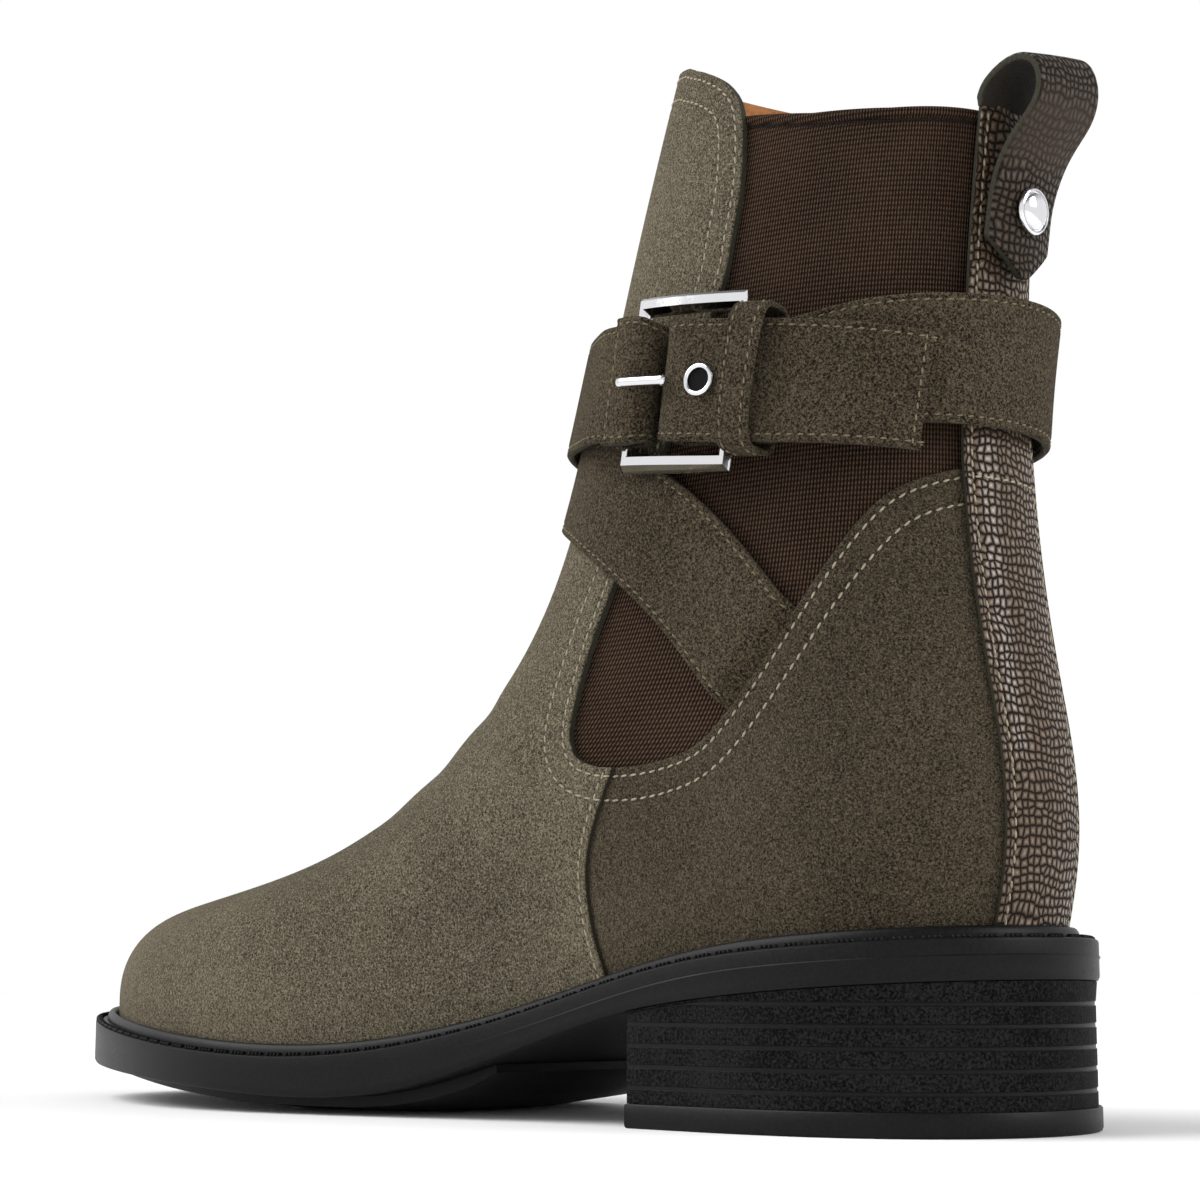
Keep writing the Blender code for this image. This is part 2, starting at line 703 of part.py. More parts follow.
def outline_distance(outline, spots):
    """Distance from spots to a closed outline, negative inside it."""
    start = outline
    way = np.roll(outline, -1, 0) - outline
    reach = spots[:, None, :] - start[None]
    share = np.clip(np.sum(reach * way, -1) / np.sum(way * way, -1), 0.0, 1.0)
    gap = np.linalg.norm(reach - share[..., None] * way, axis=-1).min(1)
    end = start + way
    over = (start[None, :, 1] > spots[:, None, 1]) != (end[None, :, 1] > spots[:, None, 1])
    rise = np.where(way[:, 1] == 0.0, TINY, way[:, 1])
    cross = start[None, :, 0] + (spots[:, None, 1] - start[None, :, 1]) * way[None, :, 0] / rise[None]
    inside = np.sum(over & (spots[:, None, 0] < cross), 1) % 2 == 1
    return np.where(inside, -gap, gap)


def strip_half(up):
    """Half width of the back strip at a height."""
    rows = np.array(STRIP_WIDTHS)
    return np.interp(up, rows[:, 0], rows[:, 1])


def strip_field(points):
    """Distance inside the edges of the back strip."""
    middle = centre_shift(points[:, 0], points[:, 2])
    return strip_half(points[:, 2]) - np.abs(points[:, 1] - middle)


def gore_field(points):
    """Distance outside the opening for the elastic; the opening stops beside the back strip."""
    opening = outline_distance(GORE_EDGE, points[:, [0, 2]])
    tongue = strip_field(points) - STRIP_SEAM_COVER
    return np.maximum(opening, tongue)


def seam_field(points):
    """Distance in front of the side seam."""
    rows = np.array(SIDE_SEAM)
    return points[:, 0] - spline(rows[:, 1], rows[:, 0], points[:, 2])


def gore_top_field(points):
    """Distance under the top edge of the elastic."""
    rows = np.array(GORE_TOP)
    return np.interp(points[:, 0], rows[:, 0], rows[:, 1]) - points[:, 2]


class Patch:
    """Cells of the last's surface that can be cut along the zero line of a field."""

    def __init__(self, angles, levels, closed):
        columns = len(angles)
        self.angle = [a for _ in levels for a in angles]
        self.level = [v for v in levels for _ in angles]
        self.faces = []
        self.tags = []
        for r in range(len(levels) - 1):
            for c in range(columns if closed else columns - 1):
                n = (c + 1) % columns
                low = r * columns
                high = low + columns
                self.faces.append((low + c, low + n, high + n, high + c))
                self.tags.append(0)

    def points(self):
        return SURFACE.points(np.array(self.angle), np.array(self.level))

    def snap(self, field, held=None):
        """Move points that lie close to the line onto it."""
        angle = np.array(self.angle)
        level = np.array(self.level)
        value = field(self.points())
        near = np.abs(value) < SNAP_DISTANCE
        if held is not None:
            near &= np.abs(held(self.points())) > SNAP_DISTANCE
        step = SLOPE_STEP
        inner = (level > 0.0) & (level < 1.0)
        for _ in range(SNAP_ROUNDS):
            value = field(SURFACE.points(angle, level))
            by_angle = (field(SURFACE.points(angle + step, level)) - value) / step
            by_level = (field(SURFACE.points(angle, np.minimum(level + step, 1.0))) - value) / step
            by_level = np.where(inner, by_level, 0.0)
            size = by_angle ** 2 + (by_level / LEVEL_WEIGHT) ** 2
            move = near & (size > 1.0)
            share = np.where(move, value / np.maximum(size, TINY), 0.0)
            angle = angle - share * by_angle
            level = np.clip(level - share * by_level / LEVEL_WEIGHT ** 2, 0.0, 1.0)
        self.angle = list(angle)
        self.level = list(level)

    def between(self, a, b, field, value_a, value_b):
        """New point on the line between two points."""
        turn = (self.angle[b] - self.angle[a] + math.pi) % (2.0 * math.pi) - math.pi
        lift = self.level[b] - self.level[a]
        low, high = 0.0, 1.0
        for _ in range(HALVINGS):
            middle = (low + high) / 2.0
            spot = SURFACE.points(np.array([self.angle[a] + middle * turn]),
                                  np.array([self.level[a] + middle * lift]))
            if (field(spot)[0] > 0.0) == (value_a > 0.0):
                low = middle
            else:
                high = middle
        self.angle.append(self.angle[a] + low * turn)
        self.level.append(self.level[a] + low * lift)
        return len(self.angle) - 1

    def cut(self, field, keep_both=False):
        """Cut every face along the zero line; keep the positive side, or both with a tag."""
        value = list(field(self.points()))
        value = [0.0 if abs(v) < ON_LINE else v for v in value]
        made = {}
        faces, tags = [], []
        for face, tag in zip(self.faces, self.tags):
            sides = {1.0: [], -1.0: []}
            for a, b in zip(face, face[1:] + face[:1]):
                for sign, chain in sides.items():
                    if value[a] * sign >= 0.0:
                        chain.append(a)
                if value[a] * value[b] < 0.0:
                    key = (min(a, b), max(a, b))
                    if key not in made:
                        made[key] = self.between(a, b, field, value[a], value[b])
                        value.append(0.0)
                    for chain in sides.values():
                        chain.append(made[key])
            for sign, chain in sides.items():
                solid = any(value[v] * sign > 0.0 for v in chain)
                if solid and len(chain) > 2 and (sign > 0.0 or keep_both):
                    faces.append(tuple(chain))
                    tags.append(1 if sign > 0.0 else 0)
        self.faces = faces
        self.tags = tags if keep_both else [0] * len(faces)

    def keep(self, wanted):
        """Keep the faces for which wanted(tag, points) holds."""
        points = self.points()
        chosen = [k for k in range(len(self.faces)) if wanted(self.tags[k], points[list(self.faces[k])])]
        self.faces = [self.faces[k] for k in chosen]
        self.tags = [0] * len(chosen)

    def inset(self, field, gap):
        """Move the points on the zero line of a field to the negative side by a gap."""
        angle = np.array(self.angle)
        level = np.array(self.level)
        on_line = np.abs(field(self.points())) < NEAR_LINE
        step = SLOPE_STEP
        points = SURFACE.points(angle, level)
        by_angle = (SURFACE.points(angle + step, level) - points) / step
        by_level = (SURFACE.points(angle, level - step) - points) / -step
        wide = np.linalg.norm(by_angle, axis=1)
        tall = np.linalg.norm(by_level, axis=1)
        reach = SLOPE_REACH
        over_angle = field(SURFACE.points(angle + reach / wide, level)) - field(
            SURFACE.points(angle - reach / wide, level))
        over_level = field(SURFACE.points(angle, np.minimum(level + reach / tall, 1.0))) - field(
            SURFACE.points(angle, np.maximum(level - reach / tall, 0.0)))
        size = np.maximum(np.hypot(over_angle, over_level), TINY)
        angle = np.where(on_line, angle - gap * over_angle / size / wide, angle)
        level = np.where(on_line, np.minimum(level - gap * over_level / size / tall, 1.0), level)
        self.angle = list(angle)
        self.level = list(level)

    def thicken(self, name, outer, inner, finish):
        """Solid between an inner offset and an outer offset for each tag."""
        base = self.points()
        normal = SURFACE.normals(np.array(self.angle), np.array(self.level))
        points, number = [], {}

        def vertex(v, layer):
            if (v, layer) not in number:
                number[(v, layer)] = len(points)
                height = inner if layer == "inner" else outer[layer]
                points.append(base[v] + normal[v] * height)
            return number[(v, layer)]

        owner = {}
        for face, tag in zip(self.faces, self.tags):
            for a, b in zip(face, face[1:] + face[:1]):
                owner[(a, b)] = tag
        layers = {}
        for (a, b), tag in owner.items():
            layers.setdefault(a, set()).add(tag)
            layers.setdefault(b, set()).add(tag)
        faces = []
        for face, tag in zip(self.faces, self.tags):
            faces.append([vertex(v, tag) for v in face])
            faces.append([vertex(v, "inner") for v in reversed(face)])
        for (a, b), tag in owner.items():
            other = owner.get((b, a))
            if other is None:
                rim = [vertex(b, tag), vertex(a, tag)]
                lower = [t for t in layers[a] if outer[t] < outer[tag]]
                rim += [vertex(a, t) for t in lower]
                rim.append(vertex(a, "inner"))
                rim.append(vertex(b, "inner"))
                end_lower = [t for t in layers[b] if outer[t] < outer[tag]]
                rim += [vertex(b, t) for t in end_lower]
                pivot = 0 if lower else 1
                rim = rim[pivot:] + rim[:pivot]
                for k in range(1, len(rim) - 1):
                    faces.append([rim[0], rim[k], rim[k + 1]])
            elif other < tag:
                faces.append([vertex(b, tag), vertex(a, tag), vertex(a, other), vertex(b, other)])
        return make_piece(name, np.array(points), faces, finish)


def turn_angles(start, end, count, closed=False):
    return list(np.radians(np.linspace(start, end, count, endpoint=not closed)))


def opened_patch():
    """Grid of the whole upper cut along the openings: tag 1 for suede, 0 for elastic."""
    patch = Patch(turn_angles(0.0, 360.0, GRID_COLUMNS, True), list(np.linspace(0.0, 1.0, GRID_ROWS)), True)
    patch.snap(gore_field)
    patch.cut(gore_field, keep_both=True)
    return patch


def make_upper():
    """Suede vamp and quarters in one wall; the vamp lies over the quarter at the side seams."""
    patch = opened_patch()
    patch.keep(lambda tag, points: tag == 1)
    patch.snap(seam_field, gore_field)
    patch.cut(seam_field, keep_both=True)
    patch.thicken("upper", {0: -VAMP_STEP, 1: 0.0}, -VAMP_STEP - UPPER_WALL, SUEDE)


def make_gores():
    """Elastic panels in the openings, with the same corners as the opening and a gap all round."""
    for name, side in (("gore_outer", 1.0), ("gore_inner", -1.0)):
        patch = opened_patch()
        patch.keep(lambda tag, points: tag == 0 and np.mean(points[:, 1]) * side > side * GORE_SPLIT)
        patch.inset(gore_field, GORE_GAP)
        patch.cut(gore_top_field)
        patch.thicken(name, {0: GORE_OUTER}, GORE_INNER, ELASTIC)


def make_back_strip():
    """Embossed strip over the rear seam from the welt to the collar."""
    patch = Patch(turn_angles(-30.0, 30.0, 11), list(np.linspace(0.036, 1.0, 22)), False)
    patch.snap(strip_field)
    patch.cut(strip_field)
    inner = -VAMP_STEP + CLEARANCE
    patch.thicken("back_strip", {0: inner + STRIP_THICKNESS}, inner, LIZARD)


def strap_path(table):
    """Even samples of a strap's route, one row for each sample."""
    rows = np.array(table)
    rise = rows[:, STRAP_COLUMNS.index("rise")]
    angle = np.radians(rows[:, 0])
    level = level_at(angle, rows[:, 1])
    middle = SURFACE.points(angle, level) + SURFACE.normals(angle, level) * rise[:, None]
    run = np.concatenate([[0.0], np.cumsum(np.linalg.norm(np.diff(middle, axis=0), axis=1))])
    count = max(8, int(round(run[-1] / STRAP_STEP)))
    fine = np.unique(np.concatenate([np.linspace(0.0, run[-1], count), run]))
    keep = np.concatenate([[True], np.diff(fine) > STRAP_STEP * 0.3])
    fine = fine[keep]
    fine[-1] = run[-1]
    return np.stack([spline(run, rows[:, k], fine) for k in range(len(STRAP_COLUMNS))], 1)


def make_strap(name, table):
    """Flat strap that keeps its rise over the upper across its whole width."""
    turn, up, slant, rise, width, lean = strap_path(table).T
    angle = np.radians(turn)
    level = level_at(angle, up)
    normal = SURFACE.normals(angle, level)
    middle = SURFACE.points(angle, level) + normal * rise[:, None]
    level_way = np.cross(np.array([0.0, 0.0, 1.0]), normal)
    level_way /= -np.linalg.norm(level_way, axis=1, keepdims=True)
    up_way = np.cross(level_way, normal)
    slant = np.radians(slant)[:, None]
    across = np.cos(slant) * up_way - np.sin(slant) * level_way
    out = np.cross(across, np.gradient(middle, axis=0))
    out /= np.linalg.norm(out, axis=1, keepdims=True)
    lanes = []
    for lane in STRAP_LANES:
        spot = middle + across * (lane * width)[:, None]
        near_angle, near_level = nearest(spot, angle, level)
        foot = SURFACE.points(near_angle, near_level)
        lift = rise + lean * lane
        lanes.append(foot + SURFACE.normals(near_angle, near_level) * lift[:, None])
    half = STRAP_THICKNESS / 2.0
    ring = [lane + out * half for lane in lanes] + [lane - out * half for lane in reversed(lanes)]
    sections = list(np.stack(ring, 1))
    return stacked_solid(name, sections, ladder_cap, SUEDE)


def buckle_place():
    """Angle and level on the outer side at the buckle's middle."""
    low, high = 0.0, math.pi
    for _ in range(HALVINGS):
        middle = np.array([(low + high) / 2.0])
        level = level_at(middle, BUCKLE_UP)
        if SURFACE.points(middle, level)[0, 0] > BUCKLE_FORWARD:
            high = middle[0]
        else:
            low = middle[0]
    return middle, level


def on_buckle(local):
    """Points from places along the strap, up and out, bent to the side of the shaft."""
    local = np.asarray(local, float)
    angle, level = buckle_place()
    centre = SURFACE.points(angle, level)[0]
    normal = SURFACE.normals(angle, level)[0]
    forward = np.cross(normal, np.array([0.0, 0.0, 1.0]))
    forward /= np.linalg.norm(forward)
    upward = np.cross(forward, normal)
    tilt = math.radians(BUCKLE_TILT)
    along = forward * math.cos(tilt) + upward * math.sin(tilt)
    across = upward * math.cos(tilt) - forward * math.sin(tilt)
    spot = centre + local[:, :1] * along + local[:, 1:2] * across
    near_angle, near_level = nearest(spot, np.full(len(spot), angle[0]), np.full(len(spot), level[0]))
    foot = SURFACE.points(near_angle, near_level)
    return foot + SURFACE.normals(near_angle, near_level) * local[:, 2:3]


def rectangle(half_a, half_b, parts):
    """Closed rectangle with its long sides divided, so it can bend."""
    a = np.linspace(-half_a, half_a, parts + 1)
    b = np.linspace(-half_b, half_b, parts + 1)
    low = [(x, -half_b) for x in a[:-1]]
    front = [(half_a, y) for y in b[:-1]]
    top = [(x, half_b) for x in a[:0:-1]]
    rear = [(-half_a, y) for y in b[:0:-1]]
    return np.array(low + front + top + rear)


def ring_solid(name, loops, finish):
    """Closed ring through loops that run the same way; the last joins the first."""
    points = np.concatenate(loops)
    count = len(loops[0])
    faces = []
    for k in range(len(loops)):
        low = list(range(k * count, (k + 1) * count))
        start = ((k + 1) % len(loops)) * count
        faces += loop_faces(low, list(range(start, start + count)))
    return make_piece(name, points, faces, finish)


def make_buckle():
    """Chrome frame with flat bars, and its prong."""
    outer = rectangle(BUCKLE_LENGTH / 2.0, BUCKLE_HEIGHT / 2.0, BUCKLE_PARTS)
    inner = rectangle(BUCKLE_LENGTH / 2.0 - BUCKLE_POST, BUCKLE_HEIGHT / 2.0 - BUCKLE_BAR, BUCKLE_PARTS)
    top = BUCKLE_RISE + BUCKLE_THICKNESS
    loops = []
    for plan, rise in ((outer, BUCKLE_RISE), (outer, top), (inner, top), (inner, BUCKLE_RISE)):
        loops.append(on_buckle(np.column_stack([plan, np.full(len(plan), rise)])))
    ring_solid("buckle_frame", loops, CHROME)
    rings = []
    for along in np.linspace(PRONG_FROM, PRONG_TO, 5):
        section = circle(PRONG_RADIUS, PRONG_POINTS)
        places = np.column_stack([np.full(PRONG_POINTS, along), PRONG_UP + section[:, 0],
                                  PRONG_RISE + section[:, 1]])
        rings.append(on_buckle(places))
    stacked_solid("buckle_prong", rings, pair_cap, CHROME)


def make_keeper():
    """Leather band round both layers of the wrap strap, behind the frame."""
    middle = (KEEPER_LOW + KEEPER_HIGH) / 2.0
    half_out = (KEEPER_HIGH - KEEPER_LOW) / 2.0
    inner = rectangle(half_out, KEEPER_HALF, 4)
    outer = rectangle(half_out + KEEPER_LEATHER, KEEPER_HALF + KEEPER_LEATHER, 4)
    loops = []
    for plan, along in ((outer, KEEPER_FROM), (outer, KEEPER_TO), (inner, KEEPER_TO), (inner, KEEPER_FROM)):
        local = np.column_stack([np.full(len(plan), along), KEEPER_UP + plan[:, 1], middle + plan[:, 0]])
        loops.append(on_buckle(local))
    ring_solid("strap_keeper", loops, SUEDE)


def circle(radius, count):
    turn = np.linspace(0.0, 2.0 * math.pi, count, endpoint=False)
    return np.column_stack([radius * np.cos(turn), radius * np.sin(turn)])


def make_eyelet():
    """Metal ring on the strap's end."""
    outer = circle(EYELET_OUTER, EYELET_POINTS)
    inner = circle(EYELET_HOLE, EYELET_POINTS)
    top = EYELET_RISE + EYELET_HEIGHT
    loops = []
    for plan, rise in ((outer, EYELET_RISE), (outer, top), (inner, top), (inner, EYELET_RISE)):
        local = np.column_stack([plan[:, 0] + EYELET_ALONG, plan[:, 1] + EYELET_UP,
                                 np.full(len(plan), rise)])
        loops.append(on_buckle(local))
    ring_solid("eyelet", loops, CHROME)


def loop_route():
    """Samples along the pull loop: distance, middle line and outward way seen from the side, cup, tilt."""
    rows = np.array(LOOP_PATH)
    run = np.concatenate([[0.0], np.cumsum(np.linalg.norm(np.diff(rows[:, :2], axis=0), axis=1))])
    fine = np.linspace(0.0, run[-1], LOOP_STEPS)
    forward, up, cup, tilt = (spline(run, rows[:, k], fine) for k in range(len(LOOP_COLUMNS)))
    line = np.stack([forward, up], 1)
    way = np.gradient(line, axis=0)
    way /= np.linalg.norm(way, axis=1, keepdims=True)
    out = np.stack([way[:, 1], -way[:, 0]], 1)
    return fine, line, out, cup, tilt


def make_pull_loop():
    """Loop of embossed leather over the collar, with a pointed outer end."""
    run, line, out, cup, tilt = loop_route()
    half = np.minimum(LOOP_HALF, LOOP_TIP_HALF + (run[-1] - run) * LOOP_HALF / LOOP_POINT)
    sections = []
    for k in range(len(line)):
        middle = centre_shift(line[k, 0], line[k, 1])
        ring = []
        for face, lanes in ((1.0, LOOP_LANES), (-1.0, LOOP_LANES[::-1])):
            for lane in lanes:
                spot = line[k] + out[k] * face * LOOP_THICKNESS / 2.0
                bend = cup[k] * (lane * half[k] / LOOP_HALF) ** 2
                ring.append((spot[0] + bend, middle + lane * half[k], spot[1] - lane * tilt[k]))
        sections.append(np.array(ring))
    stacked_solid("pull_loop", sections, ladder_cap, LIZARD)


def make_loop_stud():
    """Plain domed rivet on the loop's outer end."""
    run, line, out, _, _ = loop_route()
    outer_leg = run > run[-1] / 2.0
    k = int(np.argmin(np.where(outer_leg, np.abs(line[:, 1] - STUD_UP), np.inf)))
    base = line[k] + out[k] * (LOOP_THICKNESS / 2.0 + STUD_GAP)
    middle = centre_shift(line[k, 0], line[k, 1])
    way = np.array([-out[k, 1], out[k, 0]])
    rings = []
    for share in STUD_SHARES:
        plan = circle(STUD_RADIUS * math.sqrt(1.0 - share * share), STUD_POINTS)
        side = base + way * plan[:, 1:2] + out[k] * share * STUD_HEIGHT
        rings.append(np.column_stack([side[:, 0], middle + plan[:, 0], side[:, 1]]))
    stacked_solid("loop_stud", rings, pair_cap, CHROME)


def main():
    for old in list(bpy.data.objects):
        bpy.data.objects.remove(old, do_unlink=True)
    make_outsole()
    make_welt()
    make_insole()
    make_tread()
    make_heel()
    make_upper()
    make_gores()
    make_back_strip()
    make_strap("wrap_strap", WRAP_STRAP)
    make_strap("buckle_strap", BUCKLE_STRAP)
    make_buckle()
    make_keeper()
    make_eyelet()
    make_pull_loop()
    make_loop_stud()


main()
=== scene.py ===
"""Looks of a left suede ankle boot with crossed harness straps, laid out as an add-on.

Boot coordinates are millimetres: forward from the rear of the sole, left towards the outer side of this
left boot, and up from the floor. The world is in metres with the toe towards -Y and the outer side
towards +X, as in the frame.
"""
import math

import bmesh
import bpy
import numpy as np
from bpy.props import FloatProperty, FloatVectorProperty, PointerProperty
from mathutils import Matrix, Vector


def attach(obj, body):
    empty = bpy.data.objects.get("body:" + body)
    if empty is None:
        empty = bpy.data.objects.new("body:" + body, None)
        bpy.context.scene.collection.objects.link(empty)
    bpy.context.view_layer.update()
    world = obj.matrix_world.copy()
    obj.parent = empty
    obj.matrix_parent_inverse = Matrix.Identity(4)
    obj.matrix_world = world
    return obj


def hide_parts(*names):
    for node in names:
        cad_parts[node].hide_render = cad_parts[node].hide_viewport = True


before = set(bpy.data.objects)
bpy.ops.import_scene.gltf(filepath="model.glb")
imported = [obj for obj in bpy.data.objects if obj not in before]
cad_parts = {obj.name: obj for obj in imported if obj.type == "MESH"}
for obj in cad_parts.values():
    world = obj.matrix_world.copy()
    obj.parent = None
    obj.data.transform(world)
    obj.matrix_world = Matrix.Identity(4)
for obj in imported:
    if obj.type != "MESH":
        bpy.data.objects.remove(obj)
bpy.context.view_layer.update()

bl_info = {
    "name": "Harness Boot",
    "version": (1, 0, 0),
    "blender": (4, 5, 0),
    "location": "View3D > Sidebar > Boot",
    "description": "Builds the looks of a suede harness boot on its packed frame",
    "category": "Object",
}

MM = 0.001
ORIGIN_FORWARD = 128.25
ORIGIN_LEFT = -0.05
TINY = 1e-9
SLOPE_STEP = 1e-4
HALVINGS = 30
SEARCH_ROUNDS = 8
SEARCH_TURN = 0.2
SEARCH_CLIMB = 0.05
ON_LINE = 1e-4
SHARP_ANGLE = 42.0

# Camera in boot coordinates: place, heading from straight ahead to the inner side, and pitch in degrees
CAMERA_PLACE = (-238.69, 358.45, 24.5)
CAMERA_HEADING = 46.0
CAMERA_PITCH = 8.791
CAMERA_LENS = 75.06
CAMERA_SENSOR = 36.0
CAMERA_NEAR = 0.01
# Sky: bright round the horizon and dimmer overhead, by the height of the direction; then the soft lights
SKY_FROM = 0.42
SKY_TO = 0.8
SKY_LOW = 1.0
SKY_HIGH = 0.2
KEY_PLACE = (0.9, -1.0, 1.5)
KEY_POWER = 3.0
KEY_SPREAD = 50.0
REAR_PLACE = (-0.55, 1.4, 0.9)
REAR_SIZE = 0.8
REAR_POWER = 14.0
LIGHT_TARGET = (0.0, 0.0, 0.09)
FLOOR_HALF = 6.0
FLOOR_FINISH = {"Base Color": (0.9, 0.9, 0.9, 1.0), "Roughness": 0.8}

# Sole seen from the side: forward place, lower edge of the side wall and upper edge of the welt
SOLE_COLUMNS = ("forward", "wall_bottom", "welt_top")
SOLE_PROFILE = (
    (-8.0, 25.8, 33.0),
    (0.0, 25.6, 32.8),
    (30.0, 24.2, 31.4),
    (52.0, 22.4, 29.4),
    (70.0, 20.0, 26.2),
    (90.0, 15.0, 21.2),
    (110.0, 9.0, 16.3),
    (128.0, 4.6, 13.0),
    (148.0, 3.3, 11.3),
    (178.0, 4.8, 12.2),
    (210.0, 6.6, 14.8),
    (240.0, 7.8, 17.2),
    (270.0, 9.0, 19.4),
)
CLEARANCE = 0.3

# Centre line of the boot seen from above: forward place and shift to the outer side
CENTRE_LINE = (
    (-10.0, 0.0),
    (60.0, 0.0),
    (110.0, 2.2),
    (165.0, 1.6),
    (215.0, -2.6),
    (262.0, -7.0),
)
SHAFT_LEAN = -4.0
SHAFT_LEAN_HEIGHT = 170.0

# Sections of the last from the sole up: rear and front point, half widths at fixed angles round the ring
# from the rear, and the share of the sole's side curve that the section keeps
RING_ANGLES = (0.0, 22.0, 45.0, 78.0, 112.0, 148.0, 165.0, 180.0)
LAST_COLUMNS = ("rear_f", "rear_z", "front_f", "front_z",
                "w22", "w45", "w78", "w112", "w148", "w165", "sag")
LAST = (
    (5.0, 33.0, 256.0, 18.7, 20.0, 29.5, 28.0, 41.5, 27.0, 15.0, 1.00),
    (3.2, 42.0, 256.0, 27.5, 20.5, 31.0, 29.5, 43.0, 27.0, 14.8, 0.95),
    (2.4, 49.0, 252.0, 35.5, 20.5, 31.0, 30.0, 42.0, 25.0, 13.5, 0.86),
    (2.4, 56.0, 236.0, 41.5, 20.0, 30.5, 30.5, 39.5, 23.0, 13.0, 0.72),
    (3.2, 64.0, 205.0, 46.0, 19.0, 29.5, 30.5, 36.0, 21.5, 12.0, 0.55),
    (4.8, 73.0, 168.0, 54.0, 17.5, 28.0, 30.0, 33.0, 20.5, 11.5, 0.34),
    (7.2, 86.0, 135.5, 72.0, 15.5, 26.0, 29.5, 30.5, 19.0, 10.5, 0.15),
    (9.8, 106.0, 113.0, 99.5, 13.5, 24.0, 29.0, 28.5, 16.5, 8.5, 0.04),
    (11.0, 132.0, 100.5, 137.0, 12.0, 22.0, 28.5, 27.0, 15.0, 7.5, 0.0),
    (10.0, 158.0, 91.5, 171.0, 11.5, 21.0, 28.0, 26.0, 14.3, 7.0, 0.0),
    (8.0, 180.0, 82.0, 203.0, 11.3, 20.5, 27.5, 25.5, 13.8, 6.8, 0.0),
)

# Opening for the elastic seen from the side: forward place and height, from the collar's front down,
# along the bottom and up the quarter to the rear
GORE_OUTLINE = (
    (76.0, 204.6),
    (70.0, 200.4),
    (66.0, 197.6),
    (59.5, 194.4),
    (52.8, 189.8),
    (49.0, 183.5),
    (48.6, 171.0),
    (50.6, 160.0),
    (53.2, 150.0),
    (66.0, 122.5),
    (79.0, 95.0),
    (83.0, 84.5),
    (85.6, 73.0),
    (84.6, 67.2),
    (80.5, 64.6),
    (73.0, 64.0),
    (64.5, 65.0),
    (57.0, 67.4),
    (50.0, 73.4),
    (41.0, 83.6),
    (30.5, 97.4),
    (21.5, 108.6),
    (13.0, 113.8),
    (-8.0, 115.0),
    (-8.0, 205.0),
)
GORE_TOP = ((-10.0, 179.6), (20.0, 179.4), (34.0, 180.4), (49.0, 183.2), (75.0, 186.0))
GORE_SPLIT = -3.0

# Side seam where the vamp lies over the quarter: forward place and height
SIDE_SEAM = (
    (76.0, 10.0),
    (79.6, 28.0),
    (82.2, 38.0),
    (82.6, 46.0),
    (80.4, 54.0),
    (76.4, 63.0),
    (72.0, 72.0),
    (55.0, 110.0),
    (40.0, 160.0),
    (30.0, 215.0),
)

# Embossed back strip: height and half width
STRIP_WIDTHS = ((30.0, 10.4), (62.0, 10.3), (115.0, 10.3), (145.0, 8.9), (182.0, 8.4))
STRIP_SEAM_COVER = 1.2
STRIP_FACE = 0.9
STRIP_BACK = -0.3
# Grid of the strip, its turn to each side in degrees, and the radius at which its flat map unrolls it
STRIP_TURN = 34.0
STRIP_COLUMNS = 60
STRIP_LEVELS = 260
STRIP_LOW_LEVEL = 0.004
STRIP_BEND = 14.0
# Stitch rows of the strip: distance from its edges, lift and upper end; then the row across it, its gap
# to the others and its upper end
STRIP_ROW = 1.4
STRIP_LIFT = 0.1
STRIP_ROW_TOP = 178.0
STRIP_CROSS_GAP = 0.6
STRIP_CROSS_TOP = 130.0
# Trough of the stitch rows on the strip and the straps
SEWN_DEPTH = 0.25
SEWN_HALF = 0.5
# Embossed rows on the strip and loop, in metres as their flat maps are
EMBOSS_ROW = 1.6 * MM
EMBOSS_BEAD = 1.4 * MM
EMBOSS_UNEVEN = 0.42
EMBOSS_FULL = 0.46
# Colour factors on the beads' crests: a painted highlight
EMBOSS_PAINTED_HIGHLIGHT = (1.8, 1.9, 2.0)
STRIP_SHINE = 1.0
LOOP_SHINE = 0.3
EMBOSS_WANDER = 3.0 * MM
EMBOSS_FADE = 6.0 * MM
# Stretch of the loop's flat map where the beads are calmer, by how much, and the level that they calm to
LOOP_CALM = (18.0 * MM, 38.0 * MM)
EMBOSS_CALM = 0.7
EMBOSS_CALM_LEVEL = 0.42
# Scale of the suede's tufts as a share of the scale of its flecks
TUFT_SCALE = 0.4

# Grid of the upper's panels and heights of their faces over the last
PANEL_COLUMNS = 330
PANEL_ROWS = 130
VAMP_FACE = 0.0
QUARTER_FACE = -0.6
PANEL_BACK = -1.55
LINING_FACE = -1.6
LINING_BACK = -2.6
GORE_FACE = -1.7
GORE_BACK = -2.4
GORE_TUCK = 1.2
LINING_MARGIN = 1.5
# Dip of the quarters under the vamp's edge, and places by the seam, behind it, where the dip has points
DIP_DEPTH = 0.6
DIP_HALF = 1.1
DIP_LINES = (-0.4, -1.0, -2.0)
# Level at which the elastic's grid starts, and the ring along which its flat map is measured
GORE_LOW_LEVEL = 0.2
GORE_MAP_LEVEL = 0.8
GORE_MAP_POINTS = 721
EDGE_ROUND = 0.3
EDGE_LINES = (0.05, 0.15, 0.3)
COLLAR_REACH = 230.0
HEM_HEIGHT = 2.0
HEM_RISE = 0.6
HEM_GROOVE = 0.5
HEM_GROOVE_HALF = 0.35
HEM_LINES = (0.0, 0.1, 0.3, 0.6, 1.0, 1.4, 1.7, 1.9, 2.0, 2.6)
# Seam under the hem, in dark unbroken thread that is also a painted shadow under the hem
HEM_SEAM = 2.25
HEM_SEAM_LIFT = 0.1
HEM_SEAM_PITCH = 1.2
HEM_SEAM_OVERLAP = 1.3
HEM_SEAM_WIDTH = 0.5
# Factor that darkens the elastic's colour for the hem thread: painted shadow
HEM_PAINTED_SHADOW = 0.15

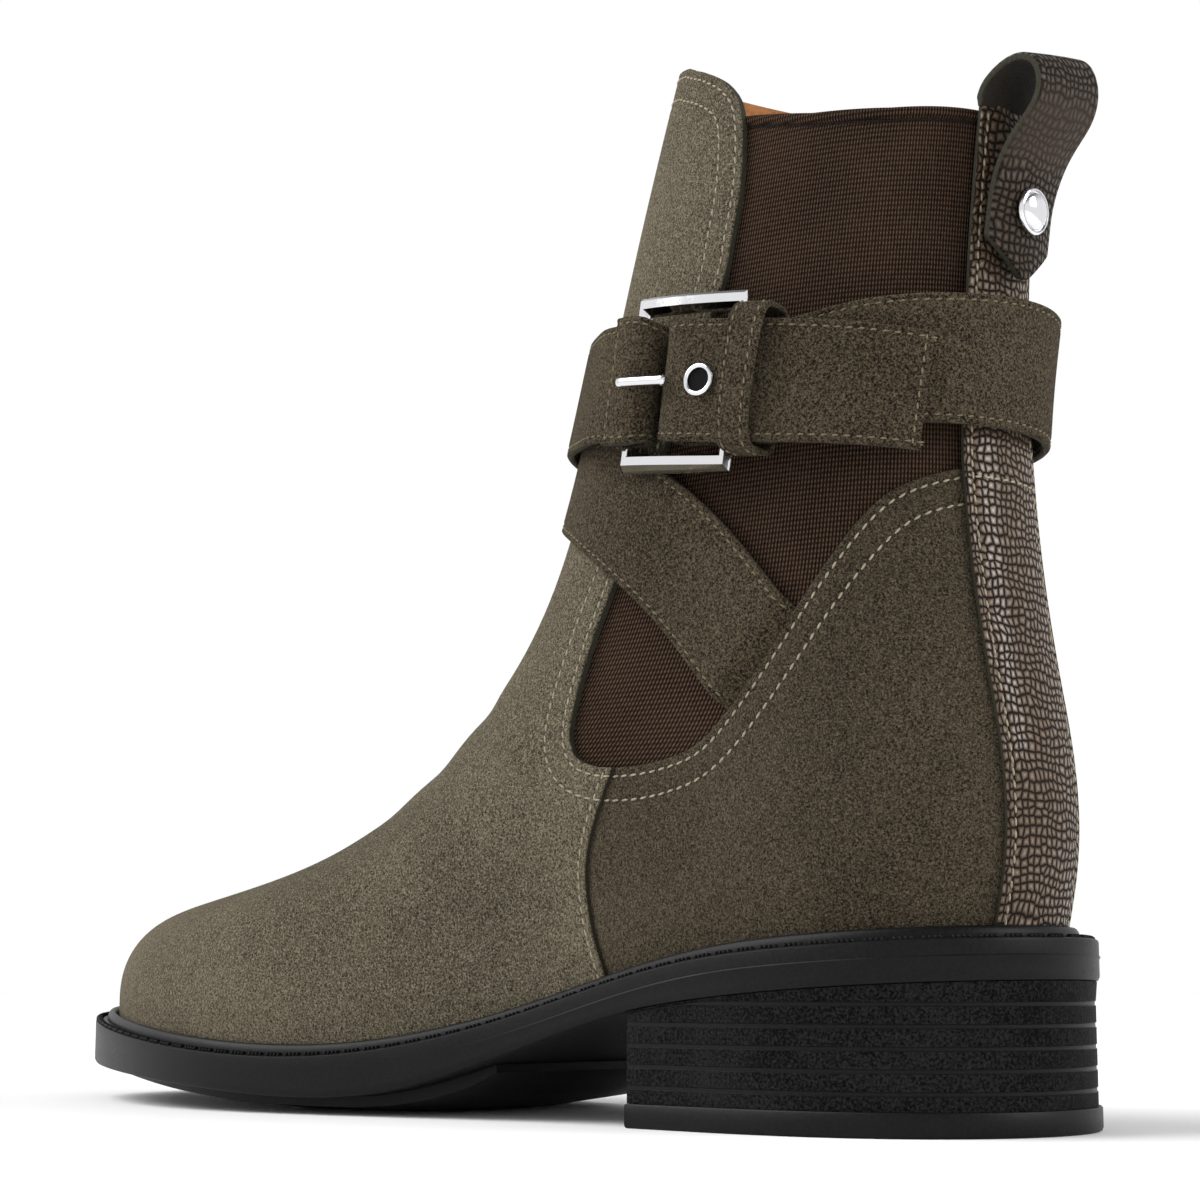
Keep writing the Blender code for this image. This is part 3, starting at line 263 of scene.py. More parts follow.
# Stitch rows on the upper: distance from the panel's edge, and the soft trough that each lies in
ROW_FIRST = 1.6
ROW_SECOND = 6.0
SEAM_ROW = 1.5
TROUGH_DEPTH = 0.22
TROUGH_HALF = 0.6
STITCH_SLANT = 7.0
STRAP_THREAD_SHARE = 0.85
# Lift of the upper's stitches as a share of their height, and where their rows stop beside the seam and
# the strip
STITCH_LIFT = 0.2
VAMP_ROW_GAP = 0.4
QUARTER_ROW_GAP = 0.8
STRIP_GAP = 0.4

# Main creases: both ends in side view (forward, up), side, half width and depth of the trough
CREASES = (
    (100.0, 62.0, 127.0, 84.0, 1.0, 5.0, 0.45),
    (108.0, 52.0, 140.0, 72.0, 1.0, 6.0, 0.40),
    (122.0, 44.0, 152.0, 60.0, 1.0, 7.0, 0.30),
    (100.0, 60.0, 127.0, 82.0, -1.0, 5.0, 0.50),
    (108.0, 50.0, 140.0, 70.0, -1.0, 6.0, 0.45),
    (122.0, 43.0, 152.0, 58.0, -1.0, 7.0, 0.35),
    (20.0, 80.0, 48.0, 62.0, 1.0, 9.0, 0.35),
    (18.0, 78.0, 46.0, 60.0, -1.0, 9.0, 0.35),
)
# Shares of its length over which a crease begins and ends, how it fades past the centre line, and its
# ridges
CREASE_BEGIN = (-0.15, 0.3)
CREASE_END = (0.7, 1.15)
CREASE_SIDE = (-4.0, 8.0)
CREASE_RIDGE = 0.9

# Straps: turn round the boot from the rear in degrees, height, slant in degrees, rise of the strap's
# middle over the upper, width, and how much further the upper edge stands off
STRAP_THICKNESS = 1.8
STRAP_COLUMNS = ("turn", "up", "slant", "rise", "width", "lean")
WRAP_STRAP = (
    (64.5, 81.6, 42.0, 0.9, 22.4, 0.0),
    (73.0, 88.5, 41.0, 0.9, 22.4, 0.0),
    (83.0, 96.5, 38.0, 1.0, 22.4, 0.0),
    (95.0, 104.5, 32.0, 1.3, 22.4, 0.0),
    (109.0, 111.6, 23.0, 1.4, 22.4, 0.0),
    (127.0, 118.2, 14.0, 1.4, 22.4, 0.0),
    (150.0, 123.0, 9.0, 1.4, 22.4, 0.0),
    (180.0, 126.4, 6.0, 1.4, 22.4, 0.0),
    (210.0, 129.0, 5.0, 1.4, 22.4, 0.0),
    (240.0, 131.0, 4.0, 1.4, 22.6, 0.0),
    (272.0, 132.2, 2.0, 1.6, 23.0, 0.4),
    (305.0, 132.8, 0.0, 2.6, 23.4, 1.2),
    (333.0, 132.8, 0.0, 4.0, 23.4, 2.4),
    (360.0, 132.6, 0.0, 4.8, 23.4, 2.6),
    (387.0, 132.2, 0.0, 4.6, 23.0, 1.2),
    (410.0, 131.4, 2.0, 3.4, 22.6, 0.2),
    (432.0, 130.2, 3.0, 2.5, 22.0, 0.0),
    (446.0, 131.6, 6.0, 2.5, 22.0, 0.0),
    (452.6, 132.2, 7.0, 3.1, 22.2, 0.0),
    (454.6, 132.4, 7.0, 5.1, 22.4, 0.0),
    (452.6, 132.2, 7.0, 7.1, 22.4, 0.0),
    (445.0, 131.4, 7.0, 7.7, 22.4, 0.0),
    (430.0, 129.6, 8.0, 7.7, 22.3, 0.0),
    (410.0, 127.2, 9.0, 7.7, 21.9, 0.0),
    (391.0, 124.9, 9.0, 8.2, 21.5, 0.0),
)
BUCKLE_STRAP = (
    (295.5, 81.6, -42.0, 0.9, 22.4, 0.0),
    (287.0, 88.5, -41.0, 0.9, 22.4, 0.0),
    (277.0, 96.0, -38.0, 1.3, 22.4, 0.0),
    (265.0, 103.2, -34.0, 2.6, 22.4, 0.0),
    (251.0, 110.8, -30.0, 3.9, 22.4, 0.0),
    (238.0, 117.0, -28.0, 4.0, 22.4, 0.0),
    (225.0, 122.4, -26.0, 4.0, 22.4, 0.0),
    (210.0, 127.8, -22.0, 4.0, 22.4, 0.0),
    (195.0, 132.2, -16.0, 4.0, 22.4, 0.0),
    (180.0, 135.2, -10.0, 4.0, 22.4, 0.0),
    (165.0, 136.8, -4.0, 4.0, 22.4, 0.0),
    (150.0, 137.0, 2.0, 4.1, 22.4, 0.0),
    (137.0, 136.2, 4.0, 4.4, 22.4, 0.0),
    (125.0, 135.2, 5.0, 5.6, 22.4, 0.0),
    (116.0, 134.6, 6.0, 7.0, 22.4, 0.0),
    (108.0, 133.9, 6.0, 7.6, 22.4, 0.0),
    (101.6, 133.3, 7.0, 7.0, 22.4, 0.0),
    (99.8, 133.1, 7.0, 5.0, 22.4, 0.0),
    (101.6, 133.3, 7.0, 3.0, 22.4, 0.0),
    (108.0, 133.9, 7.0, 2.4, 22.4, 0.0),
)
# Where each strap starts, tucked under the quarter's edge, and the run and depth of the tuck
WRAP_TUCK = (60.0, 77.9, 42.0, 0.9, 22.4, 0.0)
BUCKLE_TUCK = (300.0, 77.9, -42.0, 0.9, 22.4, 0.0)
TUCK_RUN = 26.0
TUCK_REACH = 3.6
TUCK_DEPTH = -1.45
TUCK_HALF = 0.2
TUCK_ROW_SHARE = 0.5
# Layer of the buckle strap that folds back round the frame: the turn at which it ends, and its thickness
CHAPE_TURN = 110.0
CHAPE_THICKNESS = 0.8
CHAPE_FOLD = 3.0
CHAPE_SINK = 0.7
CHAPE_SINK_RUN = 9.0
CHAPE_WIDER = 0.08
# From the layer's end: extra sections, the run of its edge, and where the strap below has sunk
CHAPE_STEPS = (-0.12, 0.0, 0.12, 0.4)
CHAPE_EDGE = (-0.01, 0.3)
CHAPE_SINK_END = 0.2
# How much a strap narrows where it folds round the frame, and over what run
FOLD_PULL = 0.09
FOLD_REACH = 2.2
STRAP_STEP = 1.3
STRAP_ROW = 1.3
END_ROW = 1.4
CROSS_POINTS = 15
# Distances from a strap's edge at which its section has points, and points across the middle
STRAP_EDGE_LINES = (0.0, 0.12, 0.35, 0.7, 0.95, 1.3, 1.65, 2.3)
STRAP_MIDDLE = (-0.6, -0.3, 0.0, 0.3, 0.6)
STRAP_INNER = 1.0
STRAP_ROUND = 0.7

# Buckle, on the outer side: along the strap, up and out from the upper, with its front end tilted up
BUCKLE_FORWARD = 57.2
BUCKLE_UP = 132.2
BUCKLE_TILT = 7.0
BUCKLE_LENGTH = 24.8
BUCKLE_HEIGHT = 33.0
BUCKLE_RISE = 4.1
BUCKLE_THICKNESS = 1.9
BUCKLE_BAR = 3.4
BUCKLE_POST = 1.9
BUCKLE_BEVEL = 1.85
BUCKLE_FLAT = 0.62
BUCKLE_EDGE = 0.55
BUCKLE_EDGE_SHARE = 0.16
BUCKLE_PARTS = 24
BUCKLE_BLEND = 3.0
PRONG_RADIUS = 1.0
PRONG_FROM = 10.6
PRONG_TO = -0.6
PRONG_UP = -0.6
PRONG_RISE = 10.0
PRONG_POINTS = 20
# Dome of the prong's ends: distance from the end and share of the radius; then its middle sections
PRONG_DOME = ((0.0, 0.35), (0.15, 0.75), (0.5, 1.0))
PRONG_MIDDLE = (1.5, 10.0, 8)
KEEPER_FROM = -19.0
KEEPER_TO = -12.7
KEEPER_LEATHER = 1.2
KEEPER_UP = 0.2
KEEPER_HALF = 12.4
KEEPER_LOW = 1.1
KEEPER_HIGH = 10.2
KEEPER_BULGE = 1.0
# Points round the keeper, and the exponent that squares its rounded outline
KEEPER_POINTS = 96
KEEPER_POWER = 0.4
KEEPER_ROW = 1.1
# Lines across the keeper from its edge, its rounding and trough, how much of them its inner face has, and
# how deep its thread lies
KEEPER_LINES = (0.0, 0.1, 0.3, 0.7, KEEPER_ROW, 1.6)
KEEPER_ROUND = 0.5
KEEPER_DEPTH = 0.2
KEEPER_TROUGH = 0.4
KEEPER_INNER_SHARE = 0.5
KEEPER_THREAD_SINK = 0.05
EYELET_ALONG = -6.8
EYELET_UP = -0.5
EYELET_RISE = 8.9
EYELET_OUTER = 3.0
EYELET_HOLE = 2.1
EYELET_HEIGHT = 0.7
EYELET_PARTS = 14
# Points round the eyelet and the stud, and the near-black disc in the eyelet that paints the shadow in its
# hole: radius and rise
ROUND_POINTS = 48
HOLE_PROFILE = ((EYELET_HOLE + 0.15, 0.0), (EYELET_HOLE + 0.15, 0.12), (EYELET_HOLE * 0.5, 0.06))

# Pull loop seen from the side: forward place and height of its middle from the collar over the top and
# down to its pointed end, how far its edges bend forward round the heel, and how far its inner edge is
# raised
LOOP_PATH = (
    (7.7, 180.95, 1.5, -0.3),
    (6.9, 184.2, 1.2, 0.8),
    (4.6, 187.0, 0.8, 1.5),
    (1.4, 188.4, 0.5, 1.8),
    (-1.8, 187.4, 0.4, 1.6),
    (-3.6, 184.4, 0.4, 1.2),
    (-3.8, 180.8, 0.4, 0.9),
    (-2.6, 177.6, 0.5, 0.6),
    (-0.2, 174.6, 0.7, 0.4),
    (2.2, 171.4, 1.0, 0.2),
    (4.0, 167.6, 1.3, 0.0),
    (5.2, 163.0, 1.6, 0.0),
    (5.8, 158.0, 1.8, 0.0),
    (6.4, 153.0, 1.9, 0.0),
    (6.8, 149.0, 1.9, 0.0),
)
LOOP_STEPS = 120
LOOP_HALF = 9.0
LOOP_THICKNESS = 1.5
LOOP_POINT = 7.0
LOOP_TIP_HALF = 1.0
LOOP_ROUND = 0.3
LOOP_TUCK = 1.6
LOOP_TUCK_THIN = 0.25
LOOP_TUCK_ROWS = 3
LOOP_TUCK_END = 0.6
# Lanes across the loop as shares of its half width: at its edges, then evenly over its middle
LOOP_EDGE_LANES = (1.0, 0.99, 0.965)
LOOP_FLAT_LANE = 0.92
LOOP_LANES = 13
# Factor that darkens the strip's colour for the loop: painted shade
LOOP_PAINTED_SHADE = 0.36
STUD_UP = 161.2
STUD_RADIUS = 4.2
STUD_HEIGHT = 2.0
STUD_GAP = 0.1
# Section of the stud as shares of its radius and height: its rim, then the dome
STUD_RIM = ((0.7, 0.0), (0.94, 0.02), (1.0, 0.12), (1.0, 0.42), (0.96, 0.52), (0.9, 0.54),
            (0.87, 0.3), (0.83, 0.28))
DOME_RADIUS = 0.81
DOME_FOOT = 0.36
DOME_TURN = 1.45
DOME_PARTS = 12

# Sole
SOLE_POINTS = 400
HEEL_MARGIN = 5.7
TOE_MARGIN = 5.2
MARGIN_FROM = 60.0
MARGIN_TO = 160.0
WELT_THICKNESS = 2.8
BEAD_WIDTH = 2.3
BEAD_HEIGHT = 2.1
BEAD_PARTS = 12
RIDGE_REACH = 0.2
RIDGE_FADE = (30.0, 130.0)
# Gap from the sole to the tread and the heel stack, and from the stack to the top lift
SOLE_GAP = 0.05
# Section of the outsole: offset from the sole's edge, share of the ridge, edge in side view and lift over it
OUTSOLE_PROFILE = (
    (-3.0, 0.0, "wall_bottom", 0.0),
    (-0.8, 0.0, "wall_bottom", 0.0),
    (-0.3, 0.0, "wall_bottom", 0.15),
    (0.0, 0.0, "wall_bottom", 0.7),
    (0.0, 0.0, "wall_bottom", 1.6),
    (0.0, 0.0, "welt_top", -WELT_THICKNESS - 0.7),
    (0.0, 1.0, "welt_top", -WELT_THICKNESS - 0.35),
    (0.0, 1.0, "welt_top", -WELT_THICKNESS - 0.2),
    (0.0, 0.0, "welt_top", -WELT_THICKNESS),
    (-3.0, 0.0, "welt_top", -WELT_THICKNESS),
)
# Outer section of the welt: offset from the sole's edge and lift over the welt's upper edge
WELT_PROFILE = ((-3.0, -WELT_THICKNESS), (0.0, -WELT_THICKNESS), (0.0, -0.6), (-0.12, -0.2), (-0.5, 0.0))
# Moulded stitches on the welt's ledge: place from the bead, step of the row, pitch, gap, and size of a rib
LEDGE_ROW = 1.75
LEDGE_LIFT = 0.1
LEDGE_STEP = 0.2
LEDGE_PITCH = 4.8
LEDGE_GAP = 1.9
LEDGE_RIB = 0.8
LEDGE_RIB_SHARE = 0.8
LEDGE_WIDTH = 1.6
LEDGE_HEIGHT = 1.1
INSOLE_THICKNESS = 2.8
INSOLE_INSET = -3.6
# Section of the insole: offset from its edge and lift over its lower face
INSOLE_PROFILE = ((0.0, 0.0), (0.0, INSOLE_THICKNESS - 0.5), (-0.5, INSOLE_THICKNESS))
HEEL_LENGTH = 69.0
HEEL_POINTS = 160
LIFT_HEIGHT = 4.2
GROOVE_FIRST = 7.1
GROOVE_SPACING = 3.65
GROOVE_COUNT = 5
GROOVE_DEPTH = 0.18
GROOVE_HALF = 0.42
GROOVE_SQUEEZE = 0.5
# Section of a groove: share of its half height, and depth
GROOVE_SECTION = ((-1.0, 0.0), (-0.7, GROOVE_DEPTH), (0.7, GROOVE_DEPTH), (1.0, 0.0))
STACK_INSET = -0.8
STACK_TOP_INSET = -0.5
LIFT_INSET = -0.1
# Section of the top lift: offset from its edge and height
LIFT_PROFILE = ((-0.7, 0.0), (-0.2, 0.2), (0.0, 0.7), (0.0, LIFT_HEIGHT - 0.3), (-0.2, LIFT_HEIGHT))
TREAD_POINTS = 60
TREAD_EDGE_INSET = -6.0
TREAD_FLAT_INSET = -24.0
TREAD_EDGE_SHARE = 0.45
TREAD_PROFILE = (
    (106.0, 7.4),
    (113.0, 3.6),
    (121.0, 1.4),
    (129.0, 0.4),
    (137.0, 0.0),
    (145.0, 0.0),
    (155.0, 0.0),
    (168.0, 0.0),
    (185.0, 1.5),
    (208.0, 3.7),
    (230.0, 5.2),
)


def spline_slopes(xs, ys):
    """Second derivatives of the natural cubic spline through the points."""
    count = len(xs)
    step = np.diff(xs)
    system = np.eye(count)
    right = np.zeros(count)
    for k in range(1, count - 1):
        system[k, k - 1] = step[k - 1]
        system[k, k] = 2.0 * (step[k - 1] + step[k])
        system[k, k + 1] = step[k]
        right[k] = 6.0 * ((ys[k + 1] - ys[k]) / step[k] - (ys[k] - ys[k - 1]) / step[k - 1])
    return np.linalg.solve(system, right)


def spline_cell(knots, x):
    """Knot before each x, and the weights of the values and the bends at both ends of its stretch."""
    k = np.clip(np.searchsorted(knots, x) - 1, 0, len(knots) - 2)
    h = knots[k + 1] - knots[k]
    a = (knots[k + 1] - x) / h
    b = (x - knots[k]) / h
    return k, (a, b, (a ** 3 - a) * h * h / 6.0, (b ** 3 - b) * h * h / 6.0)


def spline(xs, ys, x):
    """Natural cubic spline through (xs, ys), read at x."""
    xs = np.asarray(xs, float)
    ys = np.asarray(ys, float)
    x = np.asarray(x, float)
    bend = spline_slopes(xs, ys)
    k, (a, b, c, d) = spline_cell(xs, x)
    return a * ys[k] + b * ys[k + 1] + c * bend[k] + d * bend[k + 1]


def run_along(points):
    """Distance along a chain of points at each of them."""
    return np.concatenate([[0.0], np.cumsum(np.linalg.norm(np.diff(points, axis=0), axis=1))])


def turns(count):
    """Even angles round a full turn."""
    return np.linspace(0.0, 2.0 * math.pi, count, endpoint=False)


def unit(ways):
    """Directions of length one."""
    return ways / np.maximum(np.linalg.norm(ways, axis=-1, keepdims=True), TINY)


def sole_height(forward, column):
    """Height of a named edge of the sole at a forward place."""
    rows = np.array(SOLE_PROFILE)
    return spline(rows[:, 0], rows[:, SOLE_COLUMNS.index(column)], forward)


def centre_shift(forward, height):
    """Shift of the centre line to the outer side."""
    rows = np.array(CENTRE_LINE)
    return spline(rows[:, 0], rows[:, 1], forward) + SHAFT_LEAN * height / SHAFT_LEAN_HEIGHT


class LastSurface:
    """Outer face of the upper over an angle round the boot and a level from sole (0) to collar (1)."""

    def __init__(self):
        rows = np.array(LAST)
        self.levels = np.linspace(0.0, 1.0, len(rows))
        self.rows = rows
        self.bends = np.stack([spline_slopes(self.levels, rows[:, c]) for c in range(rows.shape[1])], 1)
        self.angles = np.radians(RING_ANGLES)
        count = len(self.angles)
        self.ring_bends = np.stack([spline_slopes(self.angles, np.eye(count)[k]) for k in range(count)], 1)

    def columns(self, level):
        """Every column of the section table read at a level."""
        k, weights = spline_cell(self.levels, np.asarray(level, float))
        a, b, c, d = (weight[..., None] for weight in weights)
        return a * self.rows[k] + b * self.rows[k + 1] + c * self.bends[k] + d * self.bends[k + 1]

    def half_width(self, folded, cols):
        """Half width of a ring at an angle between 0 (rear) and pi (front)."""
        zero = np.zeros(folded.shape + (1,))
        first = LAST_COLUMNS.index("w22")
        last = LAST_COLUMNS.index("w165") + 1
        widths = np.concatenate([zero, cols[..., first:last], zero], -1)
        bends = widths @ self.ring_bends.T
        k, (a, b, c, d) = spline_cell(self.angles, folded)

        def at(table, shift):
            return np.take_along_axis(table, k[..., None] + shift, -1)[..., 0]

        return a * at(widths, 0) + b * at(widths, 1) + c * at(bends, 0) + d * at(bends, 1)

    def points(self, angle, level):
        """Points (forward, left, up) at angles in radians; 0 to pi is the outer side."""
        angle = np.asarray(angle, float)
        level = np.broadcast_to(np.asarray(level, float), angle.shape)
        turn = np.mod(angle, 2.0 * math.pi)
        folded = np.where(turn > math.pi, 2.0 * math.pi - turn, turn)
        side = np.where(turn > math.pi, -1.0, 1.0)
        cols = self.columns(level)
        share = (1.0 - np.cos(folded)) / 2.0
        rear_f, rear_z, front_f, front_z = (cols[..., k] for k in range(4))
        forward = rear_f + share * (front_f - rear_f)
        foot = self.rows[0]
        foot_forward = foot[0] + share * (foot[2] - foot[0])
        foot_chord = foot[1] + share * (foot[3] - foot[1])
        sole_curve = sole_height(foot_forward, "welt_top") + CLEARANCE - foot_chord
        up = rear_z + share * (front_z - rear_z) + cols[..., LAST_COLUMNS.index("sag")] * sole_curve
        left = side * self.half_width(folded, cols) + centre_shift(forward, up)
        return np.stack([forward, left, up], -1)

    def normals(self, angle, level):
        """Outward unit normals."""
        angle = np.asarray(angle, float)
        level = np.broadcast_to(np.asarray(level, float), angle.shape)
        low = np.clip(level - SLOPE_STEP, 0.0, 1.0)
        high = np.clip(level + SLOPE_STEP, 0.0, 1.0)
        round_way = self.points(angle + SLOPE_STEP, level) - self.points(angle - SLOPE_STEP, level)
        up_way = self.points(angle, high) - self.points(angle, low)
        return unit(np.cross(up_way, round_way))

    def over(self, angle, level, rise):
        """Points that rise from the surface along its normals."""
        return self.points(angle, level) + self.normals(angle, level) * rise[:, None]


SURFACE = LastSurface()


def level_at(angle, height):
    """Levels at which the surface has the given heights."""
    angle = np.asarray(angle, float)
    low = np.zeros_like(angle)
    high = np.ones_like(angle)
    for _ in range(HALVINGS):
        middle = (low + high) / 2.0
        above = SURFACE.points(angle, middle)[..., 2] > height
        high = np.where(above, middle, high)
        low = np.where(above, low, middle)
    return (low + high) / 2.0


def nearest(points, angle, level):
    """Angles and levels of the surface points nearest to the given points."""
    for _ in range(SEARCH_ROUNDS):
        base = SURFACE.points(angle, level)
        by_angle = (SURFACE.points(angle + SLOPE_STEP, level) - base) / SLOPE_STEP
        by_level = (SURFACE.points(angle, level + SLOPE_STEP) - base) / SLOPE_STEP
        miss = points - base
        aa = np.sum(by_angle * by_angle, -1)
        al = np.sum(by_angle * by_level, -1)
        ll = np.sum(by_level * by_level, -1)
        ra = np.sum(by_angle * miss, -1)
        rl = np.sum(by_level * miss, -1)
        det = np.maximum(aa * ll - al * al, TINY)
        angle = angle + np.clip((ra * ll - rl * al) / det, -SEARCH_TURN, SEARCH_TURN)
        climb = np.clip((rl * aa - ra * al) / det, -SEARCH_CLIMB, SEARCH_CLIMB)
        level = np.clip(level + climb, 0.0, 1.0)
    return angle, level


def to_world(points):
    """World coordinates in metres of points in boot coordinates."""
    points = np.asarray(points, float)
    across = points[..., 1] - ORIGIN_LEFT
    along = ORIGIN_FORWARD - points[..., 0]
    return np.stack([across, along, points[..., 2]], -1) * MM


def to_world_way(ways):
    """World directions of directions in boot coordinates."""
    ways = np.asarray(ways, float)
    return np.stack([ways[..., 1], -ways[..., 0], ways[..., 2]], -1)


def smooth_share(value, start, end):
    """0 before start, 1 after end, smooth between."""
    share = np.clip((np.asarray(value, float) - start) / (end - start), 0.0, 1.0)
    return share * share * (3.0 - 2.0 * share)


def smooth_outline(points, parts=4):
    """Catmull-Rom curve through open points."""
    rows = np.array(points)
    padded = np.concatenate([rows[:1], rows, rows[-1:]])
    curve = []
    for k in range(len(rows) - 1):
        p0, p1, p2, p3 = padded[k:k + 4]
        for t in np.linspace(0.0, 1.0, parts, endpoint=False):
            curve.append(0.5 * (2.0 * p1 + (p2 - p0) * t + (2.0 * p0 - 5.0 * p1 + 4.0 * p2 - p3) * t * t
                                + (3.0 * p1 - p0 - 3.0 * p2 + p3) * t ** 3))
    curve.append(rows[-1])
    return np.array(curve)


GORE_EDGE = np.concatenate([smooth_outline(GORE_OUTLINE[:-2]), np.array(GORE_OUTLINE[-2:])])


def outline_distance(outline, spots):
    """Distance from spots to a closed outline, negative inside it."""
    gap = np.full(len(spots), np.inf)
    inside = np.zeros(len(spots), bool)
    for start, end in zip(outline, np.roll(outline, -1, 0)):
        way = end - start
        reach = spots - start
        share = np.clip(reach @ way / max(way @ way, TINY), 0.0, 1.0)
        gap = np.minimum(gap, np.linalg.norm(reach - share[:, None] * way, axis=1))
        if start[1] != end[1]:
            over = (start[1] > spots[:, 1]) != (end[1] > spots[:, 1])
            cross = start[0] + (spots[:, 1] - start[1]) * way[0] / way[1]
            inside ^= over & (spots[:, 0] < cross)
    return np.where(inside, -gap, gap)


def strip_field(points):
    """Distance inside the edges of the back strip."""
    rows = np.array(STRIP_WIDTHS)
    half = np.interp(points[:, 2], rows[:, 0], rows[:, 1])
    return half - np.abs(points[:, 1] - centre_shift(points[:, 0], points[:, 2]))


def opening_field(points):
    """Distance outside the outline of the opening for the elastic."""
    return outline_distance(GORE_EDGE, points[:, [0, 2]])


def gore_field(points):
    """Distance outside the opening, which stops beside the back strip."""
    return np.maximum(opening_field(points), strip_field(points) - STRIP_SEAM_COVER)


def seam_field(points):
    """Distance in front of the side seam."""
    rows = np.array(SIDE_SEAM)
    return points[:, 0] - spline(rows[:, 1], rows[:, 0], points[:, 2])


def gore_top_field(points):
    """Distance under the top edge of the elastic."""
    rows = np.array(GORE_TOP)
    return np.interp(points[:, 0], rows[:, 0], rows[:, 1]) - points[:, 2]


def collar_field(points):
    """Distance under the collar."""
    first = SURFACE.rows[-1]
    slope = (first[3] - first[1]) / (first[2] - first[0])
    return (first[1] + (points[:, 0] - first[0]) * slope - points[:, 2]) / math.hypot(1.0, slope)


def row_field(points):
    """Distance from the edge that the stitch rows follow."""
    return np.minimum(opening_field(points), collar_field(points))


def rounded(distance, radius):
    """Drop of a face near its rounded edge."""
    reach = np.clip(distance, 0.0, radius)
    return np.sqrt(np.maximum(radius ** 2 - (radius - reach) ** 2, 0.0)) - radius


def trough(distance, at, depth=TROUGH_DEPTH, half=TROUGH_HALF):
    """Soft trough along a line at a distance."""
    return -depth * np.exp(-((distance - at) / half) ** 2)


def creases(points):
    """Soft troughs with low ridges beside them, at listed places."""
    height = np.zeros(len(points))
    middle = centre_shift(points[:, 0], points[:, 2])
    for from_f, from_z, to_f, to_z, side, half, depth in CREASES:
        start = np.array([from_f, from_z])
        way = np.array([to_f, to_z]) - start
        length = np.linalg.norm(way)
        reach = points[:, [0, 2]] - start
        along = reach @ way / length ** 2
        across = (reach[:, 0] * way[1] - reach[:, 1] * way[0]) / length
        fade = smooth_share(along, *CREASE_BEGIN) * (1.0 - smooth_share(along, *CREASE_END))
        fade *= smooth_share((points[:, 1] - middle) * side, *CREASE_SIDE)
        share = (across / half) ** 2
        height -= depth * fade * np.exp(-share) * (1.0 - CREASE_RIDGE * share)
    return height


